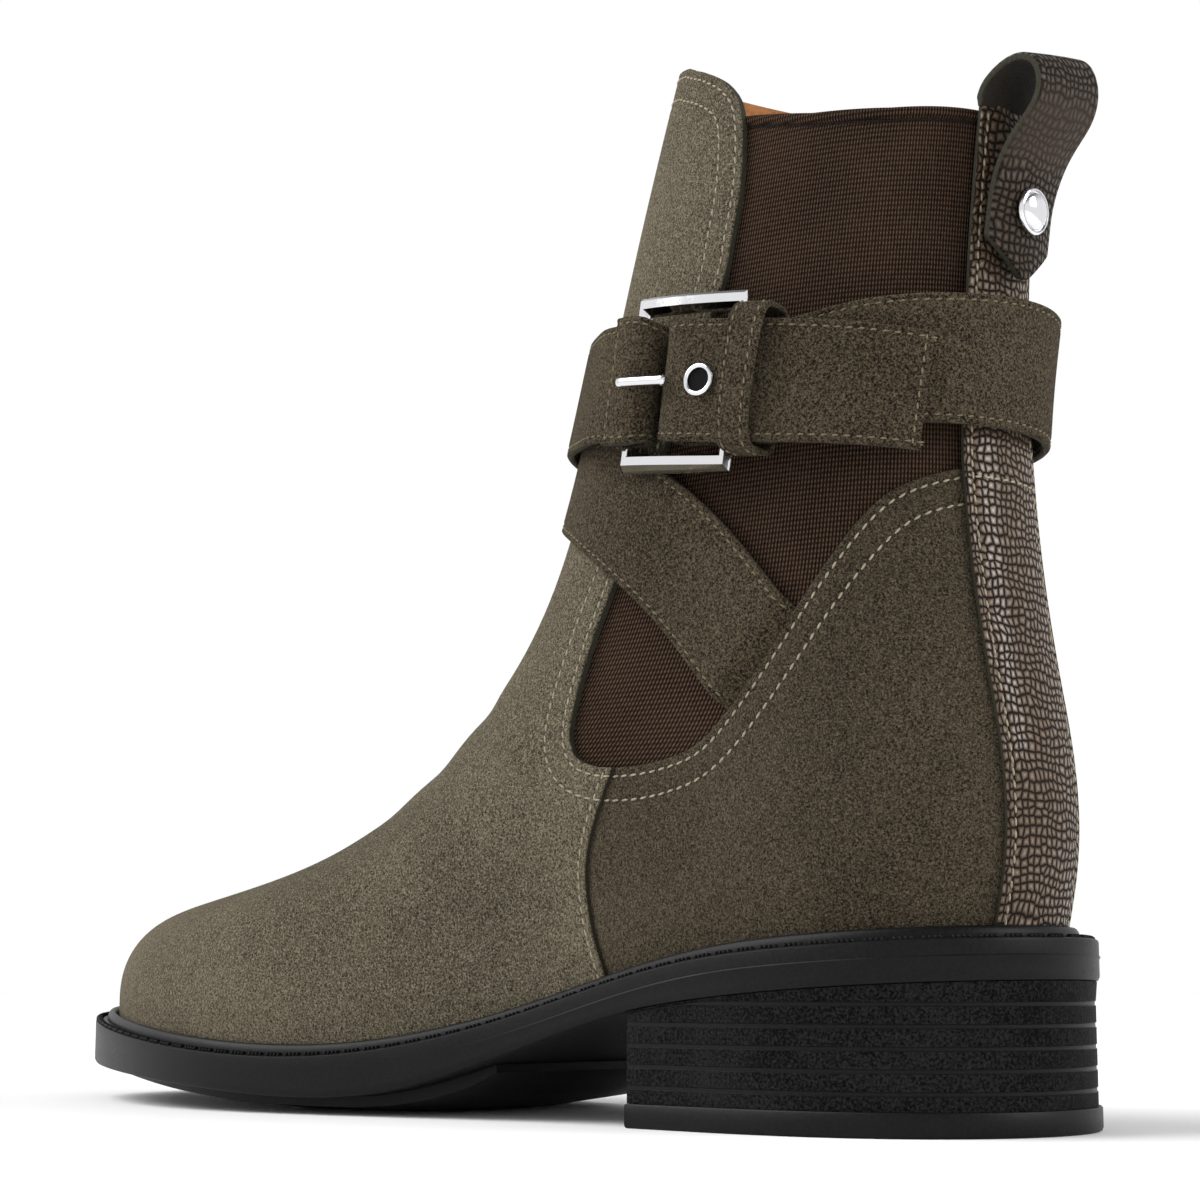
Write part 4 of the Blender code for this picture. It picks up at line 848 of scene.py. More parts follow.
class Panel:
    """Fine cells of the last's surface that can be scored along lines and cut."""

    def __init__(self, angles, levels, closed=True):
        columns = len(angles)
        self.angle = np.tile(np.asarray(angles, float), len(levels))
        self.level = np.repeat(np.asarray(levels, float), columns)
        self.faces = []
        for r in range(len(levels) - 1):
            for c in range(columns if closed else columns - 1):
                n = (c + 1) % columns
                low = r * columns
                high = low + columns
                self.faces.append((low + c, low + n, high + n, high + c))

    def spots(self):
        return SURFACE.points(self.angle, self.level)

    def score(self, field, at=0.0):
        """Divide the cells along a line of a field; returns the edges that lie on it."""
        value = field(self.spots()) - at
        value[np.abs(value) < ON_LINE] = 0.0
        side = list(np.sign(value))
        made, pairs, faces, line = {}, [], [], []
        for face in self.faces:
            signs = [side[v] for v in face]
            if min(signs) >= 0.0 or max(signs) <= 0.0:
                faces.append(face)
                continue
            chains = {1.0: [], -1.0: []}
            met = []
            for a, b in zip(face, face[1:] + face[:1]):
                for sign, chain in chains.items():
                    if side[a] * sign >= 0.0:
                        chain.append(a)
                if side[a] == 0.0:
                    met.append(a)
                if side[a] * side[b] < 0.0:
                    key = (min(a, b), max(a, b))
                    if key not in made:
                        made[key] = len(self.angle) + len(pairs)
                        pairs.append(key)
                    met.append(made[key])
                    for chain in chains.values():
                        chain.append(made[key])
            faces += [tuple(chain) for chain in chains.values() if len(chain) > 2]
            if len(met) == 2:
                line.append(tuple(met))
        if pairs:
            self.divide(np.array(pairs), value, field, at)
        self.faces = faces
        return line

    def divide(self, pairs, value, field, at):
        """Add the point where each pair's edge crosses the line."""
        a, b = pairs.T
        turn = np.mod(self.angle[b] - self.angle[a] + math.pi, 2.0 * math.pi) - math.pi
        lift = self.level[b] - self.level[a]
        low = np.zeros(len(pairs))
        high = np.ones(len(pairs))
        for _ in range(HALVINGS):
            middle = (low + high) / 2.0
            spot = SURFACE.points(self.angle[a] + middle * turn, self.level[a] + middle * lift)
            same = (field(spot) - at > 0.0) == (value[a] > 0.0)
            low = np.where(same, middle, low)
            high = np.where(same, high, middle)
        self.angle = np.concatenate([self.angle, self.angle[a] + low * turn])
        self.level = np.concatenate([self.level, self.level[a] + low * lift])

    def chosen(self, test):
        """Faces whose middle passes a test on points."""
        counts = np.array([len(face) for face in self.faces])
        flat = np.concatenate([np.array(face) for face in self.faces])
        starts = np.concatenate([[0], np.cumsum(counts)[:-1]])
        middles = np.add.reduceat(self.spots()[flat], starts, axis=0) / counts[:, None]
        return [face for face, ok in zip(self.faces, test(middles)) if ok]

    def shell(self, name, faces, outer, inner, materials, flat_map=None):
        """Closed shell on the chosen faces between two heights, with its edge in the last material."""
        used = np.unique(np.concatenate([np.array(face) for face in faces]))
        number = {int(v): k for k, v in enumerate(used)}
        angle, level = self.angle[used], self.level[used]
        base = SURFACE.points(angle, level)
        normal = SURFACE.normals(angle, level)
        count = len(used)
        points = np.concatenate([base + normal * outer(base)[:, None], base + normal * inner(base)[:, None]])
        shell_faces, marks, owner = [], [], {}
        for face in faces:
            ring = [number[v] for v in face]
            shell_faces.append(ring)
            marks.append(0)
            shell_faces.append([v + count for v in reversed(ring)])
            marks.append(len(materials) - 1)
            for a, b in zip(ring, ring[1:] + ring[:1]):
                owner[(a, b)] = True
        for a, b in owner:
            if (b, a) not in owner:
                shell_faces.append([b, a, a + count, b + count])
                marks.append(len(materials) - 1)
        uv = None
        if flat_map is not None:
            uv = np.concatenate([flat_map(angle, base)] * 2)
        return make_piece(name, points, shell_faces, materials, marks, uv)

    def row(self, line, height, keep):
        """Stitch row on scored edges: points, outward ways and edges."""
        used = sorted({v for edge in line for v in edge})
        number = {v: k for k, v in enumerate(used)}
        base = SURFACE.points(self.angle[used], self.level[used])
        normal = SURFACE.normals(self.angle[used], self.level[used])
        wanted = keep(base)
        edges = [(number[a], number[b]) for a, b in line if wanted[number[a]] and wanted[number[b]]]
        return base + normal * height(base)[:, None], normal, edges


def add_object(name, data):
    """Object of some data, at the origin."""
    made = bpy.data.objects.new(name, data)
    bpy.context.scene.collection.objects.link(made)
    return made


def make_piece(name, points, faces, materials, marks=None, uv=None):
    """One finished piece from boot coordinates, with its faces turned outward."""
    mesh = bpy.data.meshes.new(name)
    mesh.from_pydata([tuple(p) for p in to_world(points)], [], [tuple(f) for f in faces])
    for material in materials:
        mesh.materials.append(material)
    if marks is not None:
        mesh.polygons.foreach_set("material_index", np.array(marks, np.int32))
    if uv is not None:
        layer = mesh.uv_layers.new(name="Flat")
        corner = np.zeros(len(mesh.loops), np.int32)
        mesh.loops.foreach_get("vertex_index", corner)
        layer.data.foreach_set("uv", np.asarray(uv, np.float32)[corner].ravel())
    shell = bmesh.new()
    shell.from_mesh(mesh)
    bmesh.ops.recalc_face_normals(shell, faces=shell.faces[:])
    shell.to_mesh(mesh)
    shell.free()
    mesh.shade_smooth()
    mesh.set_sharp_from_angle(angle=math.radians(SHARP_ANGLE))
    return add_object(name, mesh)


def fasten(piece, slot, *nodes):
    """The piece rides on the boot and stands for CAD nodes; its slot is not used."""
    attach(piece, "root")
    if nodes:
        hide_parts(*nodes)
    return piece


def loop_faces(first, second, closed=True):
    """Quads between two loops of vertex numbers."""
    count = len(first)
    faces = []
    for k in range(count if closed else count - 1):
        n = (k + 1) % count
        faces.append((first[k], first[n], second[n], second[k]))
    return faces


def pair_cap(loop):
    """Strips across a loop that starts at the rear and runs round the boot."""
    count = len(loop)
    half = count // 2
    faces = [(loop[0], loop[1], loop[count - 1])]
    for k in range(1, half - 1):
        faces.append((loop[k], loop[k + 1], loop[count - k - 1], loop[count - k]))
    faces.append((loop[half - 1], loop[half], loop[half + 1]))
    return faces


def ladder_cap(loop):
    """Strips across an open row of points that ends with its mirror image."""
    count = len(loop)
    half = count // 2
    return [(loop[k], loop[k + 1], loop[count - k - 2], loop[count - k - 1]) for k in range(half - 1)]


def stacked(name, loops, cap, materials, row_marks=None, uv=None):
    """Closed piece through loops of equal length, capped at both ends."""
    points = np.concatenate(loops)
    count = len(loops[0])
    numbers = [list(range(k * count, (k + 1) * count)) for k in range(len(loops))]
    faces, marks = [], []
    for k, (low, high) in enumerate(zip(numbers, numbers[1:])):
        strip = loop_faces(low, high)
        faces += strip
        marks += row_marks(k, len(strip)) if row_marks else [0] * len(strip)
    for loop in (numbers[0], numbers[-1]):
        lid = cap(loop)
        faces += lid
        marks += [0] * len(lid)
    return make_piece(name, points, faces, materials, marks, uv)


def ring_piece(name, loops, materials):
    """Closed ring through loops that run the same way; the last joins the first."""
    points = np.concatenate(loops)
    count = len(loops[0])
    faces = []
    for k in range(len(loops)):
        low = list(range(k * count, (k + 1) * count))
        start = ((k + 1) % len(loops)) * count
        faces += loop_faces(low, list(range(start, start + count)))
    return make_piece(name, points, faces, materials)


# Materials

def add_node(tree, kind, inputs=None, **settings):
    """One node with its settings and socket values."""
    made = tree.nodes.new(kind)
    for key, value in settings.items():
        setattr(made, key, value)
    for key, value in (inputs or {}).items():
        made.inputs[key].default_value = value
    return made


def new_material(name, values):
    """Principled material with constant socket values; returns the material, its tree and shader."""
    material = bpy.data.materials.new(name)
    material.use_nodes = True
    tree = material.node_tree
    shader = tree.nodes["Principled BSDF"]
    for key, value in values.items():
        shader.inputs[key].default_value = value
    return material, tree, shader


def object_place(tree):
    """Coordinates in the piece's own space."""
    return tree.nodes.new("ShaderNodeTexCoord").outputs["Object"]


def flat_place(tree):
    """Coordinates of the piece's flat map."""
    return add_node(tree, "ShaderNodeUVMap", uv_map="Flat").outputs["UV"]


def parted(tree, place):
    """Single coordinates of a place."""
    made = tree.nodes.new("ShaderNodeSeparateXYZ")
    tree.links.new(place, made.inputs["Vector"])
    return made.outputs


def noise(tree, place, scale, detail=2.0, rough=0.5, swirl=0.0):
    """Noise on a coordinate socket."""
    made = add_node(tree, "ShaderNodeTexNoise", {"Scale": scale, "Detail": detail, "Roughness": rough,
                                                 "Distortion": swirl})
    tree.links.new(place, made.inputs["Vector"])
    return made.outputs["Fac"]


def math_node(tree, operation, *values):
    """Math node; each operand is a socket or a number."""
    made = add_node(tree, "ShaderNodeMath", operation=operation)
    for socket, value in zip(made.inputs, values):
        if isinstance(value, (int, float)):
            socket.default_value = value
        else:
            tree.links.new(value, socket)
    return made.outputs[0]


def wave(tree, place, length):
    """Cosine wave of a length along a coordinate, from 0 to 1."""
    turn = math_node(tree, "MULTIPLY", math_node(tree, "MULTIPLY", place, 1.0 / length), 2.0 * math.pi)
    return math_node(tree, "MULTIPLY_ADD", math_node(tree, "COSINE", turn), 0.5, 0.5)


def blend_sum(tree, *parts):
    """Weighted sum of sockets."""
    total = None
    for socket, weight in parts:
        part = math_node(tree, "MULTIPLY", socket, weight)
        total = part if total is None else math_node(tree, "ADD", total, part)
    return total


def mapped(tree, source, values):
    """Socket of a value carried from one range to another."""
    made = add_node(tree, "ShaderNodeMapRange", values)
    tree.links.new(source, made.inputs["Value"])
    return made.outputs["Result"]


def shade(colour, factor):
    """A colour times a factor, or times one for each channel."""
    return tuple(np.minimum(1.0, np.multiply(colour, factor)))


def paint(tree, shader, source, colour, stops):
    """Base colour that runs over (position, factor on the colour) stops of a value."""
    made = tree.nodes.new("ShaderNodeValToRGB")
    elements = made.color_ramp.elements
    while len(elements) < len(stops):
        elements.new(0.5)
    for element, (place, factor) in zip(elements, stops):
        element.position = place
        element.color = (*shade(colour, factor), 1.0)
    tree.links.new(source, made.inputs["Fac"])
    tree.links.new(made.outputs["Color"], shader.inputs["Base Color"])


def bump(tree, shader, height, distance, strength=1.0):
    """Bump on a shader's normal."""
    made = add_node(tree, "ShaderNodeBump", {"Strength": strength, "Distance": distance})
    tree.links.new(height, made.inputs["Height"])
    tree.links.new(made.outputs["Normal"], shader.inputs["Normal"])


def suede_material(name, colour, nap_scale, contrast):
    """Napped suede: flecks of nap, tufts and broad brushed patches."""
    material, tree, shader = new_material(name, {
        "Roughness": 1.0, "Specular IOR Level": 0.05,
        "Sheen Weight": 0.06, "Sheen Roughness": 0.45, "Sheen Tint": (0.8, 0.72, 0.56, 1.0)})
    place = object_place(tree)
    fleck = noise(tree, place, nap_scale, rough=0.6, swirl=0.8)
    tuft = noise(tree, place, nap_scale * TUFT_SCALE, rough=0.6, swirl=0.5)
    broad = noise(tree, place, 28.0, detail=3.0)
    mixed = blend_sum(tree, (fleck, 0.8), (tuft, 0.08), (broad, 0.12))
    paint(tree, shader, mixed, colour, ((0.5 - contrast, 0.2), (0.5, 1.0), (0.5 + contrast, 2.4)))
    bump(tree, shader, blend_sum(tree, (fleck, 0.8), (tuft, 0.3)), 0.8 * MM)
    return material


def edge_material(name, colour):
    """Raw cut edge of leather: short fibres."""
    material, tree, shader = new_material(name, {"Roughness": 0.9, "Specular IOR Level": 0.2})
    fibre = noise(tree, object_place(tree), 2400.0, detail=4.0, rough=0.7)
    paint(tree, shader, fibre, colour, ((0.3, 0.55), (0.7, 1.4)))
    bump(tree, shader, fibre, 0.3 * MM, 0.8)
    return material


def bead_height(tree, place):
    """Height of uneven beads in wandering rows on a flat map, from 0 between them to 1 on their crests."""
    wander = add_node(tree, "ShaderNodeTexNoise", {"Scale": 140.0, "Detail": 1.0})
    tree.links.new(place, wander.inputs["Vector"])
    moved = add_node(tree, "ShaderNodeVectorMath", {1: (EMBOSS_WANDER, EMBOSS_WANDER, 0.0)},
                     operation="MULTIPLY_ADD")
    tree.links.new(wander.outputs["Color"], moved.inputs[0])
    tree.links.new(place, moved.inputs[2])
    rows = add_node(tree, "ShaderNodeVectorMath", {1: (1.0 / EMBOSS_BEAD, 1.0 / EMBOSS_ROW, 0.0)},
                    operation="MULTIPLY")
    tree.links.new(moved.outputs["Vector"], rows.inputs[0])
    beads = add_node(tree, "ShaderNodeTexVoronoi", {"Scale": 1.0, "Randomness": EMBOSS_UNEVEN},
                     voronoi_dimensions="2D", feature="DISTANCE_TO_EDGE")
    tree.links.new(rows.outputs["Vector"], beads.inputs["Vector"])
    return mapped(tree, beads.outputs["Distance"], {"From Max": EMBOSS_FULL})


def calmed(tree, place, height, start, end):
    """Height that is calmer on a stretch of the flat map."""
    up = parted(tree, place)["Y"]
    fades = [mapped(tree, up, {"From Min": edge, "From Max": edge + fade})
             for edge, fade in ((start, EMBOSS_FADE), (end, -EMBOSS_FADE))]
    calm = math_node(tree, "MULTIPLY", math_node(tree, "MULTIPLY", *fades), EMBOSS_CALM)
    rest = math_node(tree, "MULTIPLY", calm, EMBOSS_CALM_LEVEL)
    return math_node(tree, "MULTIPLY_ADD", height, math_node(tree, "SUBTRACT", 1.0, calm), rest)


def embossed_material(name, colour, shine, calm=None):
    """Leather embossed with glossy beads, with painted shade between them and a painted highlight on their
    crests; calmer on a stretch, if one is given.
    """
    material, tree, shader = new_material(name, {"Specular IOR Level": 0.15, "Coat Roughness": 0.2})
    place = flat_place(tree)
    height = bead_height(tree, place)
    if calm:
        height = calmed(tree, place, height, *calm)
    # Base colour: painted shade in the pits between the beads, and a painted highlight on their crests
    paint(tree, shader, height, colour, ((0.02, 0.03), (0.22, 0.32), (0.5, 1.0), (1.0, EMBOSS_PAINTED_HIGHLIGHT)))
    tree.links.new(mapped(tree, height, {"To Min": 0.85, "To Max": 0.3}), shader.inputs["Roughness"])
    tree.links.new(mapped(tree, height, {"From Min": 0.25, "To Max": shine}), shader.inputs["Coat Weight"])
    grain = noise(tree, place, 2600.0, detail=3.0, rough=0.6)
    bump(tree, shader, blend_sum(tree, (height, 1.0), (grain, 0.1)), 0.6 * MM)
    return material


def elastic_material(name, colour):
    """Knitted elastic: fine upright wales broken by cross rows."""
    sizes = bpy.context.scene.boot_sizes
    material, tree, shader = new_material(name, {"Roughness": 0.95, "Specular IOR Level": 0.06})
    parts = parted(tree, flat_place(tree))
    rib = wave(tree, parts["X"], sizes.elastic_wale)
    row = wave(tree, parts["Y"], sizes.elastic_course)
    knit = math_node(tree, "MULTIPLY", rib, math_node(tree, "MULTIPLY_ADD", row, 0.6, 0.4))
    place = object_place(tree)
    height = blend_sum(tree, (knit, 0.7), (noise(tree, place, 1500.0, rough=0.6), 0.3))
    mixed = blend_sum(tree, (height, 0.85), (noise(tree, place, 60.0), 0.15))
    paint(tree, shader, mixed, colour, ((0.16, 0.1), (0.42, 0.85), (0.72, 3.4)))
    bump(tree, shader, height, 0.4 * MM, 0.9)
    return material


def rubber_material(name, colour, roughness, shine, grain_scale, grain_depth, speckle):
    """Black sole rubber or dyed stack with fine moulded grain."""
    material, tree, shader = new_material(name, {"Specular IOR Level": shine})
    place = object_place(tree)
    grain = noise(tree, place, grain_scale, detail=4.0, rough=0.65)
    mixed = blend_sum(tree, (grain, 0.8), (noise(tree, place, 60.0), 0.2))
    paint(tree, shader, mixed, colour, ((0.42, 1.0 / speckle), (0.6, speckle)))
    gloss = mapped(tree, mixed, {"From Min": 0.3, "From Max": 0.7,
                                 "To Min": roughness - 0.06, "To Max": roughness + 0.08})
    tree.links.new(gloss, shader.inputs["Roughness"])
    bump(tree, shader, grain, grain_depth, 0.6)
    return material


def leather_material(name, colour):
    """Smooth lining leather with fine pores."""
    material, tree, shader = new_material(name, {"Specular IOR Level": 0.35})
    place = object_place(tree)
    voronoi = add_node(tree, "ShaderNodeTexVoronoi", {"Scale": 900.0})
    tree.links.new(place, voronoi.inputs["Vector"])
    pores = voronoi.outputs["Distance"]
    broad = noise(tree, place, 45.0, detail=3.0, rough=0.6)
    paint(tree, shader, blend_sum(tree, (pores, 0.35), (broad, 0.65)), colour, ((0.25, 0.75), (0.75, 1.2)))
    tree.links.new(mapped(tree, broad, {"To Min": 0.5, "To Max": 0.7}), shader.inputs["Roughness"])
    bump(tree, shader, pores, 0.2 * MM, 0.5)
    return material


def chrome_material(name, colour, roughness):
    """Polished plated metal with faint wear in its gloss."""
    material, tree, shader = new_material(name, {"Metallic": 1.0, "Base Color": (*colour, 1.0)})
    smear = noise(tree, object_place(tree), 300.0, detail=3.0, rough=0.6)
    gloss = mapped(tree, smear, {"From Min": 0.3, "From Max": 0.7,
                                 "To Min": roughness, "To Max": roughness + 0.08})
    tree.links.new(gloss, shader.inputs["Roughness"])
    return material


def thread_material(name, colour):
    """Twisted sewing thread."""
    material, tree, shader = new_material(name, {"Roughness": 0.75, "Specular IOR Level": 0.3})
    fibre = noise(tree, object_place(tree), 3000.0, rough=0.6)
    paint(tree, shader, fibre, colour, ((0.3, 0.7), (0.7, 1.2)))
    bump(tree, shader, fibre, 0.2 * MM, 0.6)
    return material


# Finishes: maker, name of the colour in the boot's settings, factor on it, and the maker's further values
FINISHES = {
    "upper_suede": (suede_material, "suede", 1.0, 2800.0, 0.12),
    "quarter_suede": (suede_material, "quarter", 1.0, 2800.0, 0.12),
    "strap_suede": (suede_material, "strap", 1.0, 2500.0, 0.095),
    "cut_edge": (edge_material, "cut_edge", 1.0),
    "loop_flesh": (edge_material, "flesh", 1.0),
    # Near-black disc in the eyelet: painted shadow in its hole
    "needle_hole": (edge_material, "hole", 1.0),
    "embossed_leather": (embossed_material, "embossed", 1.0, STRIP_SHINE),
    # The loop is the strip's leather darkened as painted shade
    "loop_leather": (embossed_material, "embossed", LOOP_PAINTED_SHADE, LOOP_SHINE, LOOP_CALM),
    "elastic": (elastic_material, "elastic", 1.0),
    "sole_rubber": (rubber_material, "rubber", 1.0, 0.42, 0.13, 1800.0, 0.08 * MM, 1.4),
    "heel_stack": (rubber_material, "stack", 1.0, 0.6, 0.04, 2000.0, 0.7 * MM, 5.0),
    "bright_metal": (chrome_material, "metal", 1.0, 0.05),
    "tan_lining": (leather_material, "lining", 1.0),
    "thread": (thread_material, "thread", 1.0),
    "strap_thread": (thread_material, "strap_thread", 1.0),
    # Dark hem thread: a real seam that also paints the shadow under the hem
    "hem_thread": (thread_material, "elastic", HEM_PAINTED_SHADOW),
}
MATERIALS = {}


def finish(name):
    """Material of a finish, made once."""
    if name not in MATERIALS:
        maker, colour, factor, *values = FINISHES[name]
        base = getattr(bpy.context.scene.boot_colours, colour)
        MATERIALS[name] = maker(name, shade(base, factor), *values)
    return MATERIALS[name]


# Stitch rows by Geometry Nodes: the tree's nodes with their socket values and settings, and its links
STITCH_TREE = "Stitch rows"
STITCH_SIZES = ("Pitch", "Length", "Width", "Height", "Slant")
STITCH_NODES = {
    "given": ("NodeGroupInput", {}, {}),
    "curve": ("GeometryNodeMeshToCurve", {}, {}),
    "spaced": ("GeometryNodeResampleCurve", {}, {"mode": "LENGTH"}),
    "points": ("GeometryNodeCurveToPoints", {}, {"mode": "EVALUATED"}),
    "out": ("GeometryNodeInputNamedAttribute", {"Name": "out"}, {"data_type": "FLOAT_VECTOR"}),
    "along": ("FunctionNodeAlignRotationToVector", {}, {"axis": "X"}),
    "upright": ("FunctionNodeAlignRotationToVector", {}, {"axis": "Z", "pivot_axis": "X"}),
    "slant": ("ShaderNodeCombineXYZ", {}, {}),
    "euler": ("FunctionNodeEulerToRotation", {}, {}),
    "turned": ("FunctionNodeRotateRotation", {}, {"rotation_space": "LOCAL"}),
    "sizes": ("ShaderNodeCombineXYZ", {}, {}),
    "ball": ("GeometryNodeMeshUVSphere", {"Segments": 8, "Rings": 6, "Radius": 0.5}, {}),
    "placed": ("GeometryNodeInstanceOnPoints", {}, {}),
    "real": ("GeometryNodeRealizeInstances", {}, {}),
    "smooth": ("GeometryNodeSetShadeSmooth", {}, {}),
    "painted": ("GeometryNodeSetMaterial", {}, {}),
    "result": ("NodeGroupOutput", {}, {}),
}
STITCH_LINKS = (
    ("given", "Rows", "curve", "Mesh"),
    ("curve", "Curve", "spaced", "Curve"),
    ("given", "Pitch", "spaced", "Length"),
    ("spaced", "Curve", "points", "Curve"),
    ("points", "Tangent", "along", "Vector"),
    ("along", "Rotation", "upright", "Rotation"),
    ("out", "Attribute", "upright", "Vector"),
    ("upright", "Rotation", "turned", "Rotation"),
    ("given", "Slant", "slant", "Z"),
    ("slant", "Vector", "euler", "Euler"),
    ("euler", "Rotation", "turned", "Rotate By"),
    ("given", "Length", "sizes", "X"),
    ("given", "Width", "sizes", "Y"),
    ("given", "Height", "sizes", "Z"),
    ("points", "Points", "placed", "Points"),
    ("ball", "Mesh", "placed", "Instance"),
    ("turned", "Rotation", "placed", "Rotation"),
    ("sizes", "Vector", "placed", "Scale"),
    ("placed", "Instances", "real", "Geometry"),
    ("real", "Geometry", "smooth", "Geometry"),
    ("smooth", "Geometry", "painted", "Geometry"),
    ("given", "Material", "painted", "Material"),
    ("painted", "Geometry", "result", "Stitches"),
)


def stitch_tree():
    """Tree that lays stitches along edges: resampled at the pitch, turned to the row and the face."""
    if STITCH_TREE in bpy.data.node_groups:
        return bpy.data.node_groups[STITCH_TREE]
    tree = bpy.data.node_groups.new(STITCH_TREE, "GeometryNodeTree")
    sockets = [("Rows", "INPUT", "NodeSocketGeometry")]
    sockets += [(label, "INPUT", "NodeSocketFloat") for label in STITCH_SIZES]
    sockets += [("Material", "INPUT", "NodeSocketMaterial"), ("Stitches", "OUTPUT", "NodeSocketGeometry")]
    for label, way, kind in sockets:
        tree.interface.new_socket(label, in_out=way, socket_type=kind)
    nodes = {}
    for label, (kind, inputs, settings) in STITCH_NODES.items():
        nodes[label] = add_node(tree, kind, inputs, **settings)
    for source, output, target, taken in STITCH_LINKS:
        tree.links.new(nodes[source].outputs[output], nodes[target].inputs[taken])
    return tree


def make_stitches(name, rows, material, pitch, length, width, height, slant=0.0):
    """Piece of stitches along rows of (points, outward ways, edges) in boot coordinates."""
    points, outs, edges = [], [], []
    for row_points, row_outs, row_edges in rows:
        start = sum(len(p) for p in points)
        points.append(to_world(row_points))
        outs.append(to_world_way(row_outs))
        edges += [(a + start, b + start) for a, b in row_edges]
    mesh = bpy.data.meshes.new(name)
    mesh.from_pydata([tuple(p) for p in np.concatenate(points)], edges, [])
    layer = mesh.attributes.new("out", "FLOAT_VECTOR", "POINT")
    layer.data.foreach_set("vector", np.concatenate(outs).astype(np.float32).ravel())
    piece = add_object(name, mesh)
    tree = stitch_tree()
    values = dict(zip(STITCH_SIZES, (pitch * MM, length * MM, width * MM, height * MM, math.radians(slant))))
    values["Material"] = material
    modifier = piece.modifiers.new(STITCH_TREE, "NODES")
    modifier.node_group = tree
    for socket in tree.interface.items_tree:
        if socket.item_type == "SOCKET" and socket.in_out == "INPUT" and socket.name in values:
            modifier[socket.identifier] = values[socket.name]
    seen = piece.evaluated_get(bpy.context.evaluated_depsgraph_get())
    baked = bpy.data.meshes.new_from_object(seen)
    piece.modifiers.clear()
    piece.data = baked
    baked.name = name
    if not baked.polygons:
        raise RuntimeError(name + " has no stitches")
    return piece


def add_stitches(name, rows, small=False):
    """Thread stitches along rows; the straps' are smaller and duller."""
    sizes = bpy.context.scene.boot_sizes
    share = STRAP_THREAD_SHARE if small else 1.0
    thread = finish("strap_thread" if small else "thread")
    piece = make_stitches(name, rows, thread, sizes.stitch_pitch / MM, sizes.stitch_length * share / MM,
                          sizes.stitch_width * share / MM, sizes.stitch_height / MM, STITCH_SLANT)
    fasten(piece, "suede")


def chain_row(points, outs, keep=None):
    """Stitch row on a chain of points, or on those of them that are kept."""
    kept = np.ones(len(points), bool) if keep is None else keep
    edges = [(k, k + 1) for k in range(len(points) - 1) if kept[k] and kept[k + 1]]
    return np.asarray(points), np.asarray(outs), edges


# Upper

def steady(height):
    """Height function that is the same everywhere."""
    return lambda points: np.full(len(points), height)


def lifted(height, lift):
    """Height function raised by an amount."""
    return lambda points: height(points) + lift


def score_row(panel, field, at, half=TROUGH_HALF):
    """Score both sides of a stitch row's trough and the row; returns the row's edges."""
    for shift in (-half, half):
        panel.score(field, at + shift)
    return panel.score(field, at)


def scored_upper():
    """Whole upper scored along openings, seams and stitch rows; also gives the rows' edges."""
    levels = list(np.linspace(0.0, 1.0, PANEL_ROWS))
    levels += [1.0 - d / COLLAR_REACH for d in EDGE_LINES]
    panel = Panel(turns(PANEL_COLUMNS), sorted(set(levels)))
    for at in (0.0,) + EDGE_LINES + (GORE_TUCK, LINING_MARGIN):
        panel.score(gore_field, at)
    for at in (0.0,) + EDGE_LINES + DIP_LINES:
        panel.score(seam_field, at)
    rows = [score_row(panel, row_field, at) for at in (ROW_FIRST, ROW_SECOND)]
    return panel, rows, score_row(panel, seam_field, SEAM_ROW)


def row_troughs(points):
    """Troughs of both stitch rows beside the openings and the collar."""
    distance = row_field(points)
    return trough(distance, ROW_FIRST) + trough(distance, ROW_SECOND)


def vamp_height(points):
    """Outer face of the vamp over the last."""
    edge = np.minimum(gore_field(points), collar_field(points))
    seam = seam_field(points)
    height = VAMP_FACE + rounded(np.minimum(edge, seam), EDGE_ROUND) + creases(points)
    return height + row_troughs(points) + trough(seam, SEAM_ROW)


def quarter_height(points):
    """Outer face of the quarters; they dip under the vamp's edge."""
    height = QUARTER_FACE + rounded(gore_field(points), EDGE_ROUND) + creases(points)
    return height + row_troughs(points) + trough(seam_field(points), 0.0, DIP_DEPTH, DIP_HALF)


def make_upper():
    """Vamp, quarters and lining with their stitch rows."""
    panel, rows, seam_row = scored_upper()
    for name, suede, side, height in (("vamp", "upper_suede", 1.0, vamp_height),
                                      ("quarters", "quarter_suede", -1.0, quarter_height)):
        faces = panel.chosen(lambda p: (gore_field(p) > 0.0) & (seam_field(p) * side > 0.0))
        piece = panel.shell(name, faces, height, steady(PANEL_BACK), [finish(suede), finish("cut_edge")])
        fasten(piece, "suede", "upper")
    inside = panel.chosen(lambda p: gore_field(p) > LINING_MARGIN)
    piece = panel.shell("lining", inside, steady(LINING_FACE), steady(LINING_BACK), [finish("tan_lining")])
    fasten(piece, "insole", "upper")
    lift = bpy.context.scene.boot_sizes.stitch_height * STITCH_LIFT / MM
    vamp_row = lifted(vamp_height, lift)
    quarter_row = lifted(quarter_height, lift)
    sewn = []
    for line in rows:
        sewn.append(panel.row(line, vamp_row, lambda p: seam_field(p) > VAMP_ROW_GAP))
        sewn.append(panel.row(line, quarter_row, lambda p: (seam_field(p) < -QUARTER_ROW_GAP)
                              & (strip_field(p) < -STRIP_GAP)))
    sewn.append(panel.row(seam_row, vamp_row, lambda p: row_field(p) > ROW_FIRST))
    add_stitches("upper_stitches", sewn)


def gore_height(points):
    """Outer face of the elastic with a folded hem along its top."""
    under = gore_top_field(points)
    half = HEM_HEIGHT / 2.0
    hem = HEM_RISE * np.sqrt(np.clip(1.0 - ((under - half) / half) ** 2, 0.0, 1.0))
    return GORE_FACE + hem + trough(under, HEM_SEAM, HEM_GROOVE, HEM_GROOVE_HALF)


